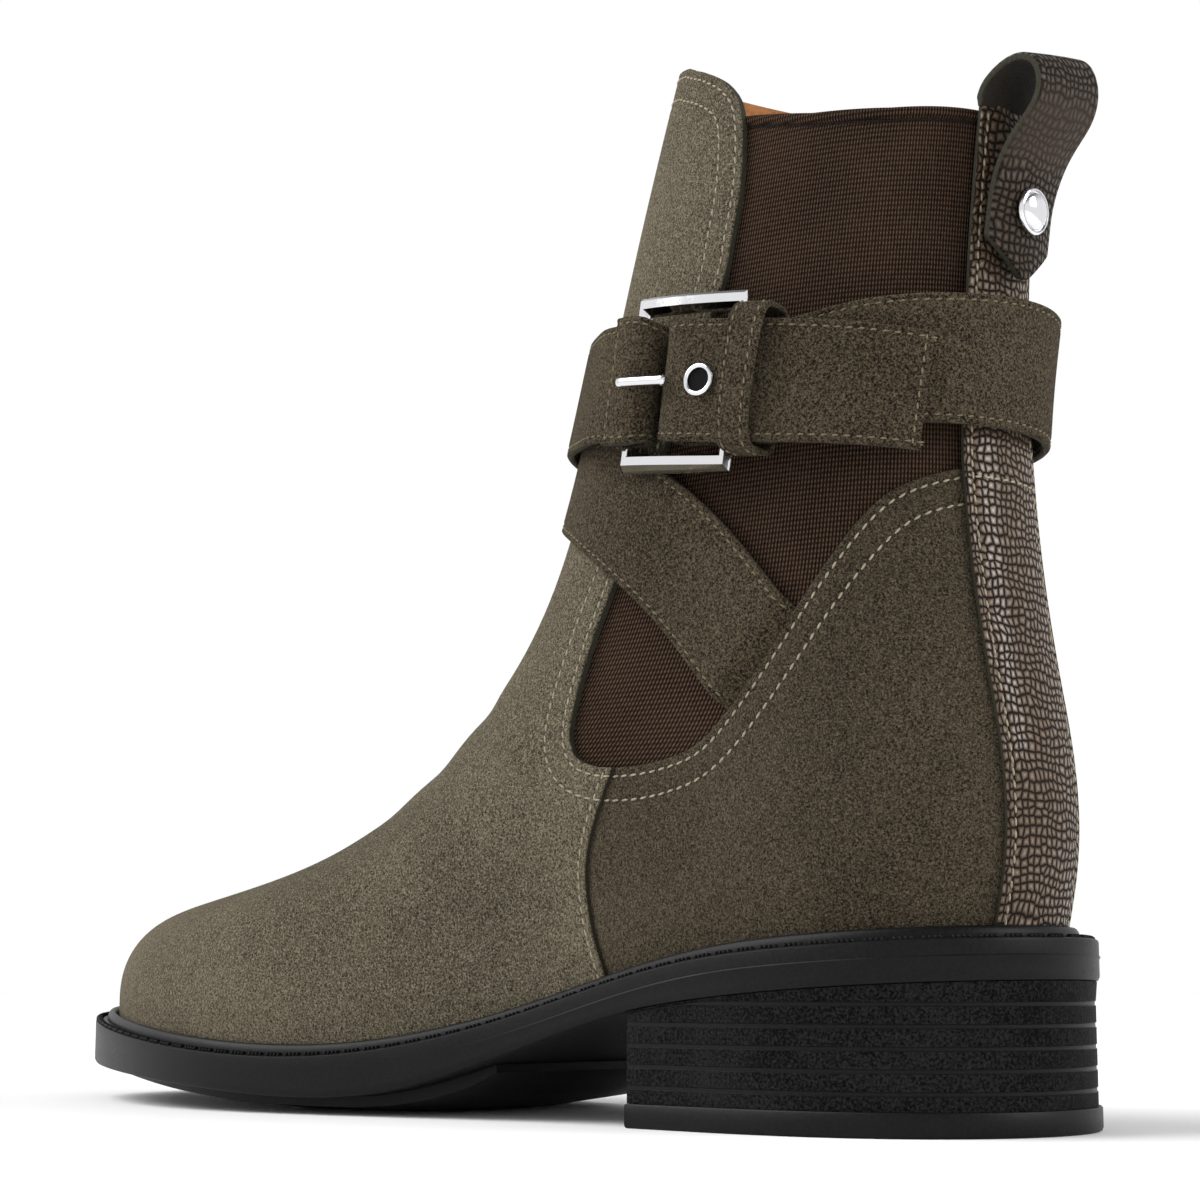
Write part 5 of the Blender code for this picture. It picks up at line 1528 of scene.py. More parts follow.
def flat_gore(angle, points):
    """Flat map of the elastic: way round the shaft and height, in metres."""
    ring = np.linspace(0.0, 2.0 * math.pi, GORE_MAP_POINTS)
    run = run_along(SURFACE.points(ring, np.full_like(ring, GORE_MAP_LEVEL)))
    return np.stack([np.interp(np.mod(angle, 2.0 * math.pi), ring, run), points[:, 2]], 1) * MM


def make_gores():
    """Elastic side panels with a seam under the hem, whose dark unbroken thread is also a painted shadow
    under the hem.
    """
    panel = Panel(turns(PANEL_COLUMNS), np.linspace(GORE_LOW_LEVEL, 1.0, PANEL_ROWS))
    panel.score(gore_field, GORE_TUCK)
    for at in HEM_LINES:
        panel.score(gore_top_field, at)
    seam = panel.score(gore_top_field, HEM_SEAM)
    for name, side in (("gore_outer", 1.0), ("gore_inner", -1.0)):
        faces = panel.chosen(lambda p: (gore_field(p) < GORE_TUCK) & (gore_top_field(p) > 0.0)
                             & ((p[:, 1] - GORE_SPLIT) * side > 0.0))
        piece = panel.shell(name, faces, gore_height, steady(GORE_BACK), [finish("elastic")], flat_gore)
        fasten(piece, "elastic", name)
    # Real hem seam in dark overlapping stitches, which also paint the shadow under the hem
    row = panel.row(seam, lifted(gore_height, HEM_SEAM_LIFT), lambda p: gore_field(p) < -HEM_SEAM_WIDTH)
    seams = make_stitches("hem_seam_and_painted_shadow", [row], finish("hem_thread"), HEM_SEAM_PITCH,
                          HEM_SEAM_PITCH * HEM_SEAM_OVERLAP, HEM_SEAM_WIDTH, HEM_SEAM_WIDTH)
    fasten(seams, "elastic")


# Back strip and pull loop

def strip_height(points):
    """Outer face of the back strip."""
    inside = strip_field(points)
    return STRIP_FACE + rounded(inside, EDGE_ROUND) + trough(inside, STRIP_ROW, SEWN_DEPTH, SEWN_HALF)


def flat_strip(_, points):
    """Flat map of the strip: way across it and way up it, in metres."""
    across = (points[:, 1] - centre_shift(points[:, 0], points[:, 2])) / STRIP_BEND
    return np.stack([np.arcsin(np.clip(across, -1.0, 1.0)) * STRIP_BEND, points[:, 2]], 1) * MM


def make_back_strip():
    """Embossed strip over the rear seam with stitch rows along its edges and across it."""
    angles = np.radians(np.linspace(-STRIP_TURN, STRIP_TURN, STRIP_COLUMNS))
    panel = Panel(angles, np.linspace(STRIP_LOW_LEVEL, 1.0, STRIP_LEVELS), False)
    for at in (0.0,) + EDGE_LINES:
        panel.score(strip_field, at)
    line = score_row(panel, strip_field, STRIP_ROW, SEWN_HALF)
    crossing = panel.score(opening_field, ROW_FIRST)
    faces = panel.chosen(lambda p: strip_field(p) > 0.0)
    piece = panel.shell("back_strip", faces, strip_height, steady(STRIP_BACK),
                        [finish("embossed_leather"), finish("cut_edge")], flat_strip)
    fasten(piece, "embossed_leather", "back_strip")
    height = lifted(strip_height, STRIP_LIFT)
    rows = [panel.row(line, height, lambda p: p[:, 2] < STRIP_ROW_TOP),
            panel.row(crossing, height, lambda p: (strip_field(p) > STRIP_ROW + STRIP_CROSS_GAP)
                      & (p[:, 2] < STRIP_CROSS_TOP))]
    add_stitches("strip_stitches", rows)


def flat_marks(count, back):
    """Marks of the faces round a flat section: 0 outside, 1 on both edges, back on the other face."""
    edges = (count - 1, 2 * count - 1)
    return lambda _, faces: [1 if k in edges else (0 if k < count else back) for k in range(faces)]


def loop_route():
    """Samples along the pull loop: distance, middle line and outward way seen from the side, cup, tilt."""
    rows = np.array(LOOP_PATH)
    run = run_along(rows[:, :2])
    fine = np.linspace(0.0, run[-1], LOOP_STEPS)
    forward, up, cup, tilt = (spline(run, rows[:, k], fine) for k in range(rows.shape[1]))
    line = np.stack([forward, up], 1)
    way = unit(np.gradient(line, axis=0))
    return fine, line, np.stack([way[:, 1], -way[:, 0]], 1), cup, tilt


def make_pull_loop():
    """Loop of embossed leather over the collar, with cut edges and a pointed outer end."""
    run, line, out, cup, tilt = loop_route()
    half = np.minimum(LOOP_HALF, LOOP_TIP_HALF + (run[-1] - run) * LOOP_HALF / LOOP_POINT)
    edge = np.array(LOOP_EDGE_LANES)
    lanes = np.concatenate([edge, np.linspace(LOOP_FLAT_LANE, -LOOP_FLAT_LANE, LOOP_LANES), -edge[::-1]])
    below = np.linspace(LOOP_TUCK, 0.0, LOOP_TUCK_ROWS + 1)[:-1]
    tuck = np.column_stack([np.full(LOOP_TUCK_ROWS, line[0, 0]), line[0, 1] - below])
    line = np.concatenate([tuck, line])
    run = np.concatenate([-below, run])
    out, cup, tilt, half = (np.concatenate([[values[0]] * LOOP_TUCK_ROWS, values])
                            for values in (out, cup, tilt, half))
    sections, flat = [], []
    for k in range(len(line)):
        middle = centre_shift(line[k, 0], line[k, 1])
        thin = LOOP_TUCK_THIN * (1.0 - smooth_share(run[k], -LOOP_TUCK, LOOP_TUCK_END))
        ring = []
        for face, order in ((1.0, lanes), (-1.0, lanes[::-1])):
            for lane in order:
                thick = LOOP_THICKNESS / 2.0 - thin + rounded((1.0 - abs(lane)) * LOOP_HALF, LOOP_ROUND)
                spot = line[k] + out[k] * face * thick
                bend = cup[k] * (lane * half[k] / LOOP_HALF) ** 2
                ring.append((spot[0] + bend, middle + lane * half[k], spot[1] - lane * tilt[k]))
                flat.append((lane * half[k] * MM, run[k] * MM))
        sections.append(np.array(ring))
    materials = [finish("loop_leather"), finish("cut_edge"), finish("loop_flesh")]
    piece = stacked("pull_loop", sections, ladder_cap, materials, flat_marks(len(lanes), 2), np.array(flat))
    fasten(piece, "embossed_leather", "pull_loop")


# Straps

def strap_run(table):
    """Distance along a strap at each row of its table."""
    rows = np.array(table)
    angle = np.radians(rows[:, 0])
    return run_along(SURFACE.over(angle, level_at(angle, rows[:, 1]), rows[:, STRAP_COLUMNS.index("rise")]))


class StrapBody:
    """Middle face of a strap over the upper, with its outward ways."""

    def __init__(self, table, steps=()):
        rows = np.array(table)
        run = strap_run(table)
        fine = np.linspace(0.0, run[-1], int(round(run[-1] / STRAP_STEP)))
        self.run = np.sort(np.concatenate([fine, np.array(steps, float)]))
        turn, up, slant, self.rise, width, self.lean = (spline(run, rows[:, k], self.run)
                                                        for k in range(rows.shape[1]))
        self.angle = np.radians(turn)
        self.level = level_at(self.angle, up)
        self.middle = SURFACE.over(self.angle, self.level, self.rise)
        normal = SURFACE.normals(self.angle, self.level)
        level_way = -unit(np.cross(np.array([0.0, 0.0, 1.0]), normal))
        slant = np.radians(slant)[:, None]
        self.across = np.cos(slant) * np.cross(level_way, normal) - np.sin(slant) * level_way
        self.out = unit(np.cross(self.across, np.gradient(self.middle, self.run, axis=0)))
        self.facing = np.sign(np.sum(self.out * normal, axis=1))
        self.extra = np.zeros(len(self.run))
        fold = float(self.run[np.argmax(np.abs(turn - turn[0]))])
        self.width = width * (1.0 - FOLD_PULL * np.exp(-((self.run - fold) / FOLD_REACH) ** 2))

    def lane(self, place):
        """Middle face at places across it in millimetres, and the share tucked under the quarter."""
        spot = self.middle + self.across * place[:, None]
        angle, level = nearest(spot, self.angle, self.level)
        tucked = smooth_share(opening_field(SURFACE.points(angle, level)), -TUCK_REACH, 0.0)
        tucked *= 1.0 - smooth_share(self.run, TUCK_RUN - STRAP_STEP, TUCK_RUN)
        lift = self.rise + self.lean * place / self.width
        return SURFACE.over(angle, level, lift + (TUCK_DEPTH - lift) * tucked), tucked

    def face(self, place, side):
        """One face (1 or -1 along the outward ways) at places across it, and its tucked share."""
        inside = self.width / 2.0 - np.abs(place)
        middle, tucked = self.lane(place)
        thick = STRAP_THICKNESS / 2.0 + rounded(inside, STRAP_ROUND)
        thick = thick + trough(inside, STRAP_ROW, SEWN_DEPTH, SEWN_HALF)
        thick = thick + np.where(self.facing == side, self.extra, 0.0)
        thick = thick + (TUCK_HALF - thick) * tucked
        return middle + self.out * (side * thick)[:, None], tucked


def strap_places(width):
    """Places across a strap, close together at its edges."""
    half = width / 2.0
    edge = [half - d for d in STRAP_EDGE_LINES]
    middle = [share * (half - STRAP_EDGE_LINES[-1] - STRAP_INNER) for share in reversed(STRAP_MIDDLE)]
    return edge + middle + [-place for place in reversed(edge)]


def make_strap(name, body, rows):
    """Suede strap with rounded edges; adds the stitch rows along its edges to a list."""
    places = strap_places(body.width)
    top = [body.face(place, 1.0)[0] for place in places]
    bottom = [body.face(place, -1.0)[0] for place in reversed(places)]
    sections = list(np.stack(top + bottom, 1))
    materials = [finish("strap_suede"), finish("cut_edge")]
    piece = stacked(name, sections, ladder_cap, materials, flat_marks(len(places), 0))
    fasten(piece, "suede", name)
    for edge in (1.0, -1.0):
        for side in (1.0, -1.0):
            points, tucked = body.face(edge * (body.width / 2.0 - STRAP_ROW), side)
            rows.append(chain_row(points, body.out * side, tucked < TUCK_ROW_SHARE))


def cross_row(body, at, side):
    """Stitch row across one face of a strap at a run."""
    k = int(np.argmin(np.abs(body.run - at)))
    reach = body.width / 2.0 - STRAP_ROW
    spots = [body.face(share * reach, side)[0][k] for share in np.linspace(1.0, -1.0, CROSS_POINTS)]
    return chain_row(spots, np.tile(body.out[k] * side, (len(spots), 1)))


def buckle_place():
    """Angle and level on the outer side at the buckle's middle."""
    low, high = 0.0, math.pi
    for _ in range(HALVINGS):
        middle = np.array([(low + high) / 2.0])
        level = level_at(middle, BUCKLE_UP)
        if SURFACE.points(middle, level)[0, 0] > BUCKLE_FORWARD:
            high = middle[0]
        else:
            low = middle[0]
    return middle, level


def on_buckle(along, up, rise):
    """Points from places along the strap, up and out, bent to the side of the shaft."""
    along, up, rise = np.broadcast_arrays(along, up, rise)
    angle, level = buckle_place()
    centre = SURFACE.points(angle, level)[0]
    normal = SURFACE.normals(angle, level)[0]
    forward = unit(np.cross(normal, np.array([0.0, 0.0, 1.0])))
    upward = np.cross(forward, normal)
    tilt = math.radians(BUCKLE_TILT)
    along_way = forward * math.cos(tilt) + upward * math.sin(tilt)
    up_way = upward * math.cos(tilt) - forward * math.sin(tilt)
    spot = centre + along[:, None] * along_way + up[:, None] * up_way
    near_angle, near_level = nearest(spot, np.full(len(spot), angle[0]), np.full(len(spot), level[0]))
    return SURFACE.over(near_angle, near_level, rise)


def keeper_path():
    """Rounded band round the strap: up place, rise and outward way in that plane."""
    middle = (KEEPER_LOW + KEEPER_HIGH) / 2.0
    half_out = (KEEPER_HIGH - KEEPER_LOW) / 2.0
    turn = turns(KEEPER_POINTS)
    up = np.sign(np.cos(turn)) * np.abs(np.cos(turn)) ** KEEPER_POWER * KEEPER_HALF
    rise = np.sign(np.sin(turn)) * np.abs(np.sin(turn)) ** KEEPER_POWER * half_out
    rise = np.where(rise > 0.0, rise + KEEPER_BULGE * (1.0 - (up / KEEPER_HALF) ** 2), rise)
    line = np.stack([up + KEEPER_UP, rise + middle], 1)
    way = unit(np.roll(line, -1, 0) - np.roll(line, 1, 0))
    return line, np.stack([way[:, 1], -way[:, 0]], 1)


def make_keeper(rows):
    """Suede band round both layers of the wrap strap, behind the frame."""
    line, out = keeper_path()
    width = KEEPER_TO - KEEPER_FROM
    places = [*KEEPER_LINES, width / 2.0] + [width - place for place in reversed(KEEPER_LINES)]
    loops = []
    for face in (1.0, 0.0):
        for place in (places if face else places[::-1]):
            inside = min(place, width - place)
            drop = rounded(inside, KEEPER_ROUND) + trough(inside, KEEPER_ROW, KEEPER_DEPTH, KEEPER_TROUGH)
            thick = KEEPER_LEATHER + drop if face else -drop * KEEPER_INNER_SHARE
            loops.append(on_buckle(KEEPER_FROM + place, *(line + out * thick).T))
    fasten(ring_piece("strap_keeper", loops, [finish("strap_suede")]), "suede", "strap_keeper")
    shown = line[:, 1] > (KEEPER_LOW + KEEPER_HIGH) / 2.0
    spots = (line + out * (KEEPER_LEATHER - KEEPER_THREAD_SINK))[shown]
    for place in (KEEPER_ROW, width - KEEPER_ROW):
        low = on_buckle(KEEPER_FROM + place, *spots.T)
        high = on_buckle(KEEPER_FROM + place, *(spots + out[shown]).T)
        rows.append(chain_row(low, high - low))


def make_straps():
    """Both harness straps, their keeper and their stitch rows."""
    rows = []
    wrap = StrapBody((WRAP_TUCK,) + WRAP_STRAP)
    make_strap("wrap_strap", wrap, rows)
    rows.append(cross_row(wrap, wrap.run[-1] - END_ROW, wrap.facing[-1]))
    table = (BUCKLE_TUCK,) + BUCKLE_STRAP
    run = strap_run(table)
    turn = np.array(table)[:, 0]
    fold = int(np.argmin(turn))
    end = float(np.interp(-CHAPE_TURN, -turn[:fold + 1], run[:fold + 1]))
    buckle = StrapBody(table, [end + step for step in CHAPE_STEPS])
    layer = smooth_share(buckle.run, end + CHAPE_EDGE[0], end + CHAPE_EDGE[1])
    buckle.extra = CHAPE_THICKNESS * layer
    buckle.extra *= 1.0 - smooth_share(buckle.run, run[fold] - CHAPE_FOLD, run[fold])
    sink = smooth_share(buckle.run, end - CHAPE_SINK_RUN, end - CHAPE_SINK_END)
    buckle.extra -= CHAPE_SINK * np.where(buckle.run < end, sink, 0.0)
    wide = layer * (1.0 - smooth_share(buckle.run, run[fold], run[fold] + CHAPE_FOLD))
    buckle.width = buckle.width * (1.0 + CHAPE_WIDER * wide)
    make_strap("buckle_strap", buckle, rows)
    k = int(np.argmin(np.abs(buckle.run - end)))
    rows.append(cross_row(buckle, end + END_ROW, buckle.facing[k]))
    make_keeper(rows)
    add_stitches("strap_stitches", rows, True)


# Hardware

def frame_plan(share):
    """Outline of the frame, divided so it can bend, from its bars' outer edge (0) to the inner one (1)."""
    half_a = BUCKLE_LENGTH / 2.0 - BUCKLE_POST * share
    half_b = BUCKLE_HEIGHT / 2.0 - BUCKLE_BAR * share
    a = np.linspace(-half_a, half_a, BUCKLE_PARTS + 1)
    b = np.linspace(-half_b, half_b, BUCKLE_PARTS + 1)
    low = [(x, -half_b) for x in a[:-1]]
    front = [(half_a, y) for y in b[:-1]]
    top = [(x, half_b) for x in a[:0:-1]]
    rear = [(-half_a, y) for y in b[:0:-1]]
    return np.array(low + front + top + rear)


def circle(radius, count):
    """Points of a circle round the origin."""
    turn = turns(count)
    return np.column_stack([radius * np.cos(turn), radius * np.sin(turn)])


def bar_drop(share):
    """Drop of a bar's face from its upper edge (0) to its lower one (1): chamfer, flat part and bevel."""
    edge = BUCKLE_EDGE * np.clip(1.0 - share / BUCKLE_EDGE_SHARE, 0.0, 1.0)
    return edge + BUCKLE_BEVEL * np.clip((share - BUCKLE_FLAT) / (1.0 - BUCKLE_FLAT), 0.0, 1.0)


def make_frame():
    """Chrome frame; each bar has a flat upper part and a broad lower bevel."""
    loops = []
    for share in (0.0, BUCKLE_EDGE_SHARE, 1.0 - BUCKLE_FLAT, BUCKLE_FLAT, 1.0 - BUCKLE_EDGE_SHARE, 1.0):
        plan = frame_plan(share)
        upper = smooth_share(plan[:, 1], -BUCKLE_BLEND, BUCKLE_BLEND)
        drop = upper * bar_drop(share) + (1.0 - upper) * bar_drop(1.0 - share)
        loops.append(on_buckle(*plan.T, BUCKLE_RISE + BUCKLE_THICKNESS - drop))
    for share in (1.0, 0.0):
        loops.append(on_buckle(*frame_plan(share).T, BUCKLE_RISE))
    fasten(ring_piece("buckle_frame", loops, [finish("bright_metal")]), "bright_metal", "buckle_frame")


def make_prong():
    """Round prong with domed ends over the frame's front bar."""
    length = PRONG_FROM - PRONG_TO
    stations = list(PRONG_DOME) + [(reach, 1.0) for reach in np.linspace(*PRONG_MIDDLE)]
    stations += [(length - reach, share) for reach, share in reversed(PRONG_DOME)]
    rings = []
    for reach, share in stations:
        section = circle(PRONG_RADIUS * share, PRONG_POINTS)
        rings.append(on_buckle(PRONG_FROM - reach, PRONG_UP + section[:, 0], PRONG_RISE + section[:, 1]))
    piece = stacked("buckle_prong", rings, pair_cap, [finish("bright_metal")])
    fasten(piece, "bright_metal", "buckle_prong")


def eyelet_ring(radius, rise):
    """Circle round the eyelet's middle."""
    plan = circle(radius, ROUND_POINTS)
    return on_buckle(plan[:, 0] + EYELET_ALONG, plan[:, 1] + EYELET_UP, EYELET_RISE + rise)


def make_eyelet():
    """Rolled metal ring with a near-black disc that paints the shadow in its hole."""
    middle = (EYELET_OUTER + EYELET_HOLE) / 2.0
    half = (EYELET_OUTER - EYELET_HOLE) / 2.0
    loops = [eyelet_ring(middle + half * math.cos(turn), EYELET_HEIGHT / 2.0 * (1.0 + math.sin(turn)))
             for turn in turns(EYELET_PARTS)]
    fasten(ring_piece("eyelet", loops, [finish("bright_metal")]), "bright_metal", "eyelet")
    # Near-black disc: painted shadow in the eyelet's hole
    rings = [eyelet_ring(radius, rise) for radius, rise in HOLE_PROFILE]
    fasten(stacked("eyelet_hole_painted_shadow", rings, pair_cap, [finish("needle_hole")]), "suede")


def make_stud():
    """Plain domed rivet with a rim on the loop's outer end."""
    run, line, out, _, _ = loop_route()
    outer_leg = run > run[-1] / 2.0
    k = int(np.argmin(np.where(outer_leg, np.abs(line[:, 1] - STUD_UP), np.inf)))
    base = line[k] + out[k] * (LOOP_THICKNESS / 2.0 + STUD_GAP)
    middle = centre_shift(line[k, 0], line[k, 1])
    way = np.array([-out[k, 1], out[k, 0]])
    dome = [(DOME_RADIUS * math.cos(turn), DOME_FOOT + (1.0 - DOME_FOOT) * math.sin(turn))
            for turn in np.linspace(0.0, DOME_TURN, DOME_PARTS)]
    rings = []
    for share, rise in list(STUD_RIM) + dome:
        plan = circle(STUD_RADIUS * share, ROUND_POINTS)
        side = base + way * plan[:, 1:2] + out[k] * rise * STUD_HEIGHT
        rings.append(np.column_stack([side[:, 0], middle + plan[:, 0], side[:, 1]]))
    fasten(stacked("loop_stud", rings, pair_cap, [finish("bright_metal")]), "bright_metal", "loop_stud")


# Sole

def plan_ring(angles, offset, from_edge=True):
    """Forward and left places moved out in plan by an offset from the sole's edge or from the foot line."""
    foot, ahead, behind = (SURFACE.points(angles + step, np.zeros_like(angles))[:, :2]
                           for step in (0.0, SLOPE_STEP, -SLOPE_STEP))
    way = ahead - behind
    out = unit(np.stack([-way[:, 1], way[:, 0]], -1))
    share = smooth_share(foot[:, 0], MARGIN_FROM, MARGIN_TO)
    margin = HEEL_MARGIN + (TOE_MARGIN - HEEL_MARGIN) * share
    reach = offset + (margin if from_edge else 0.0)
    return foot + out * np.reshape(reach, (-1, 1))


def sole_loop(offset, edge, lift=0.0, from_edge=True):
    """Loop round the whole sole, at a lift over a named edge of its side view."""
    plan = plan_ring(turns(SOLE_POINTS), offset, from_edge)
    return np.column_stack([plan, sole_height(plan[:, 0], edge) + lift])


def make_outsole():
    """Moulded sole; round the heel its wall ends in a fine ridge under the welt."""
    forward = SURFACE.points(turns(SOLE_POINTS), 0.0)[:, 0]
    ridge = RIDGE_REACH * (1.0 - smooth_share(forward, *RIDGE_FADE))
    loops = [sole_loop(offset + ridge * share, edge, lift) for offset, share, edge, lift in OUTSOLE_PROFILE]
    fasten(stacked("outsole", loops, pair_cap, [finish("sole_rubber")]), "sole_rubber", "outsole")


def make_welt():
    """Welt with a round bead beside the upper and a row of ribbed stitches on its ledge."""
    rubber = finish("sole_rubber")
    loops = [sole_loop(offset, "welt_top", lift) for offset, lift in WELT_PROFILE]
    for turn in np.linspace(0.0, math.pi, BEAD_PARTS + 1):
        reach = CLEARANCE + BEAD_WIDTH * (0.5 + 0.5 * math.cos(turn))
        loops.append(sole_loop(reach, "welt_top", BEAD_HEIGHT * math.sin(turn), False))
    fasten(stacked("welt", loops, pair_cap, [rubber]), "sole_rubber", "welt")
    ledge = sole_loop(CLEARANCE + BEAD_WIDTH + LEDGE_ROW, "welt_top", LEDGE_LIFT, False)
    length = run_along(ledge)
    fine = np.arange(0.0, length[-1], LEDGE_STEP)
    spots = np.stack([np.interp(fine, length, column) for column in ledge.T], 1)
    outs = np.tile(np.array([0.0, 0.0, 1.0]), (len(spots), 1))
    row = chain_row(spots, outs, np.mod(fine, LEDGE_PITCH) < LEDGE_PITCH - LEDGE_GAP)
    piece = make_stitches("welt_stitches", [row], rubber, LEDGE_RIB, LEDGE_RIB * LEDGE_RIB_SHARE,
                          LEDGE_WIDTH, LEDGE_HEIGHT)
    fasten(piece, "sole_rubber")


def make_insole():
    """Insole on the welt, inside the upper's wall."""
    loops = [sole_loop(INSOLE_INSET + offset, "welt_top", CLEARANCE + lift, False)
             for offset, lift in INSOLE_PROFILE]
    fasten(stacked("insole", loops, pair_cap, [finish("tan_lining")]), "insole", "insole")


def foot_angle(forward):
    """Angle of the foot line on the outer side at a forward place."""
    rear, front = SURFACE.rows[0][[0, 2]]
    return np.arccos(1.0 - 2.0 * (forward - rear) / (front - rear))


def make_tread():
    """Pad under the ball with a flat spot on the floor, following the toe spring in front."""
    rows = np.array(TREAD_PROFILE)
    forward = np.linspace(rows[0, 0], rows[-1, 0], TREAD_POINTS)
    low = np.interp(forward, rows[:, 0], rows[:, 1])
    angles = foot_angle(forward)
    angles = np.concatenate([angles, 2.0 * math.pi - angles[::-1]])
    lower = np.concatenate([low, low[::-1]])
    flat = plan_ring(angles, TREAD_FLAT_INSET)
    edge = plan_ring(angles, TREAD_EDGE_INSET)
    top = sole_height(edge[:, 0], "wall_bottom") - SOLE_GAP
    side = lower + (top - lower) * TREAD_EDGE_SHARE
    loops = [np.column_stack([flat, lower]), np.column_stack([edge, side]), np.column_stack([edge, top])]
    piece = stacked("forefoot_tread", loops, ladder_cap, [finish("sole_rubber")])
    fasten(piece, "sole_rubber", "forefoot_tread")


def heel_loop(offset, level, below=0.0):
    """Loop from the inner breast corner round the rear to the outer one, at a level or under the sole."""
    corner = foot_angle(HEEL_LENGTH)
    plan = plan_ring(np.linspace(-corner, corner, HEEL_POINTS), offset)
    top = sole_height(plan[:, 0], "wall_bottom") - SOLE_GAP
    return np.column_stack([plan, np.minimum(level, top - below)])


def make_heel():
    """Stacked heel with smooth lines between its grained layers, and the top lift."""
    rubber = finish("sole_rubber")
    loops = [heel_loop(STACK_INSET, LIFT_HEIGHT + SOLE_GAP)]
    bands = []
    for number in range(GROOVE_COUNT):
        middle = GROOVE_FIRST + number * GROOVE_SPACING
        room = GROOVE_SQUEEZE * (GROOVE_COUNT - number)
        bands += range(len(loops), len(loops) + len(GROOVE_SECTION) - 1)
        for share, depth in GROOVE_SECTION:
            shift = share * GROOVE_HALF
            loops.append(heel_loop(STACK_INSET - depth, middle + shift, room - shift * CLEARANCE))
    loops.append(heel_loop(STACK_TOP_INSET, np.inf))
    piece = stacked("heel_stack", loops, ladder_cap, [finish("heel_stack"), rubber],
                    lambda k, faces: [1 if k in bands else 0] * faces)
    fasten(piece, "heel_stack", "heel_stack")
    lift = [heel_loop(LIFT_INSET + offset, level) for offset, level in LIFT_PROFILE]
    fasten(stacked("top_lift", lift, ladder_cap, [rubber]), "sole_rubber", "top_lift")


# Stage

def aim(thing, place, way):
    """Put a light or camera at a place, facing a way."""
    thing.location = Vector(place)
    thing.rotation_euler = Vector(way).to_track_quat("-Z", "Y").to_euler()


def make_stage():
    """Pale floor, soft studio lights and the camera."""
    scene = bpy.context.scene
    scene.view_settings.view_transform = "Standard"
    half = FLOOR_HALF
    mesh = bpy.data.meshes.new("floor")
    mesh.from_pydata([(-half, -half, 0.0), (half, -half, 0.0), (half, half, 0.0), (-half, half, 0.0)], [],
                     [(0, 1, 2, 3)])
    mesh.materials.append(new_material("pale_floor", FLOOR_FINISH)[0])
    add_object("floor", mesh)
    world = bpy.data.worlds.new("studio")
    scene.world = world
    world.use_nodes = True
    sky = world.node_tree
    background = sky.nodes["Background"]
    background.inputs["Color"].default_value = (1.0, 1.0, 1.0, 1.0)
    height = parted(sky, sky.nodes.new("ShaderNodeTexCoord").outputs["Generated"])["Z"]
    fall = mapped(sky, height, {"From Min": SKY_FROM, "From Max": SKY_TO,
                                "To Min": SKY_LOW, "To Max": SKY_HIGH})
    sky.links.new(fall, background.inputs["Strength"])
    key = bpy.data.lights.new("key_light", "SUN")
    key.energy = KEY_POWER
    key.angle = math.radians(KEY_SPREAD)
    rear = bpy.data.lights.new("rear_light", "AREA")
    rear.energy = REAR_POWER
    rear.size = REAR_SIZE
    for light, place in ((key, KEY_PLACE), (rear, REAR_PLACE)):
        aim(add_object(light.name, light), place, Vector(LIGHT_TARGET) - Vector(place))
    lens = bpy.data.cameras.new("camera")
    lens.lens = CAMERA_LENS
    lens.sensor_width = CAMERA_SENSOR
    lens.clip_start = CAMERA_NEAR
    heading = math.radians(CAMERA_HEADING)
    pitch = math.radians(CAMERA_PITCH)
    level_way = (-math.sin(heading) * math.cos(pitch), -math.cos(heading) * math.cos(pitch))
    scene.camera = add_object("camera", lens)
    aim(scene.camera, to_world(CAMERA_PLACE), (*level_way, math.sin(pitch)))


# Add-on

def length_property(name, description, default):
    return FloatProperty(name=name, description=description, default=default, unit="LENGTH")


class BootSizes(bpy.types.PropertyGroup):
    """Sizes of the boot's fine details."""

    stitch_pitch: length_property("Stitch pitch", "Distance from stitch to stitch", 2.1 * MM)
    stitch_length: length_property("Stitch length", "Length of one stitch", 1.5 * MM)
    stitch_width: length_property("Stitch width", "Width of the thread", 0.45 * MM)
    stitch_height: length_property("Stitch height", "Height of the thread", 0.5 * MM)
    elastic_wale: length_property("Elastic wale", "Width of one upright wale of the elastic", 0.62 * MM)
    elastic_course: length_property("Elastic course", "Height of one row of the elastic", 0.9 * MM)


def colour_property(name, description, default):
    return FloatVectorProperty(name=name, description=description, default=default, subtype="COLOR",
                               size=3, min=0.0, max=1.0)


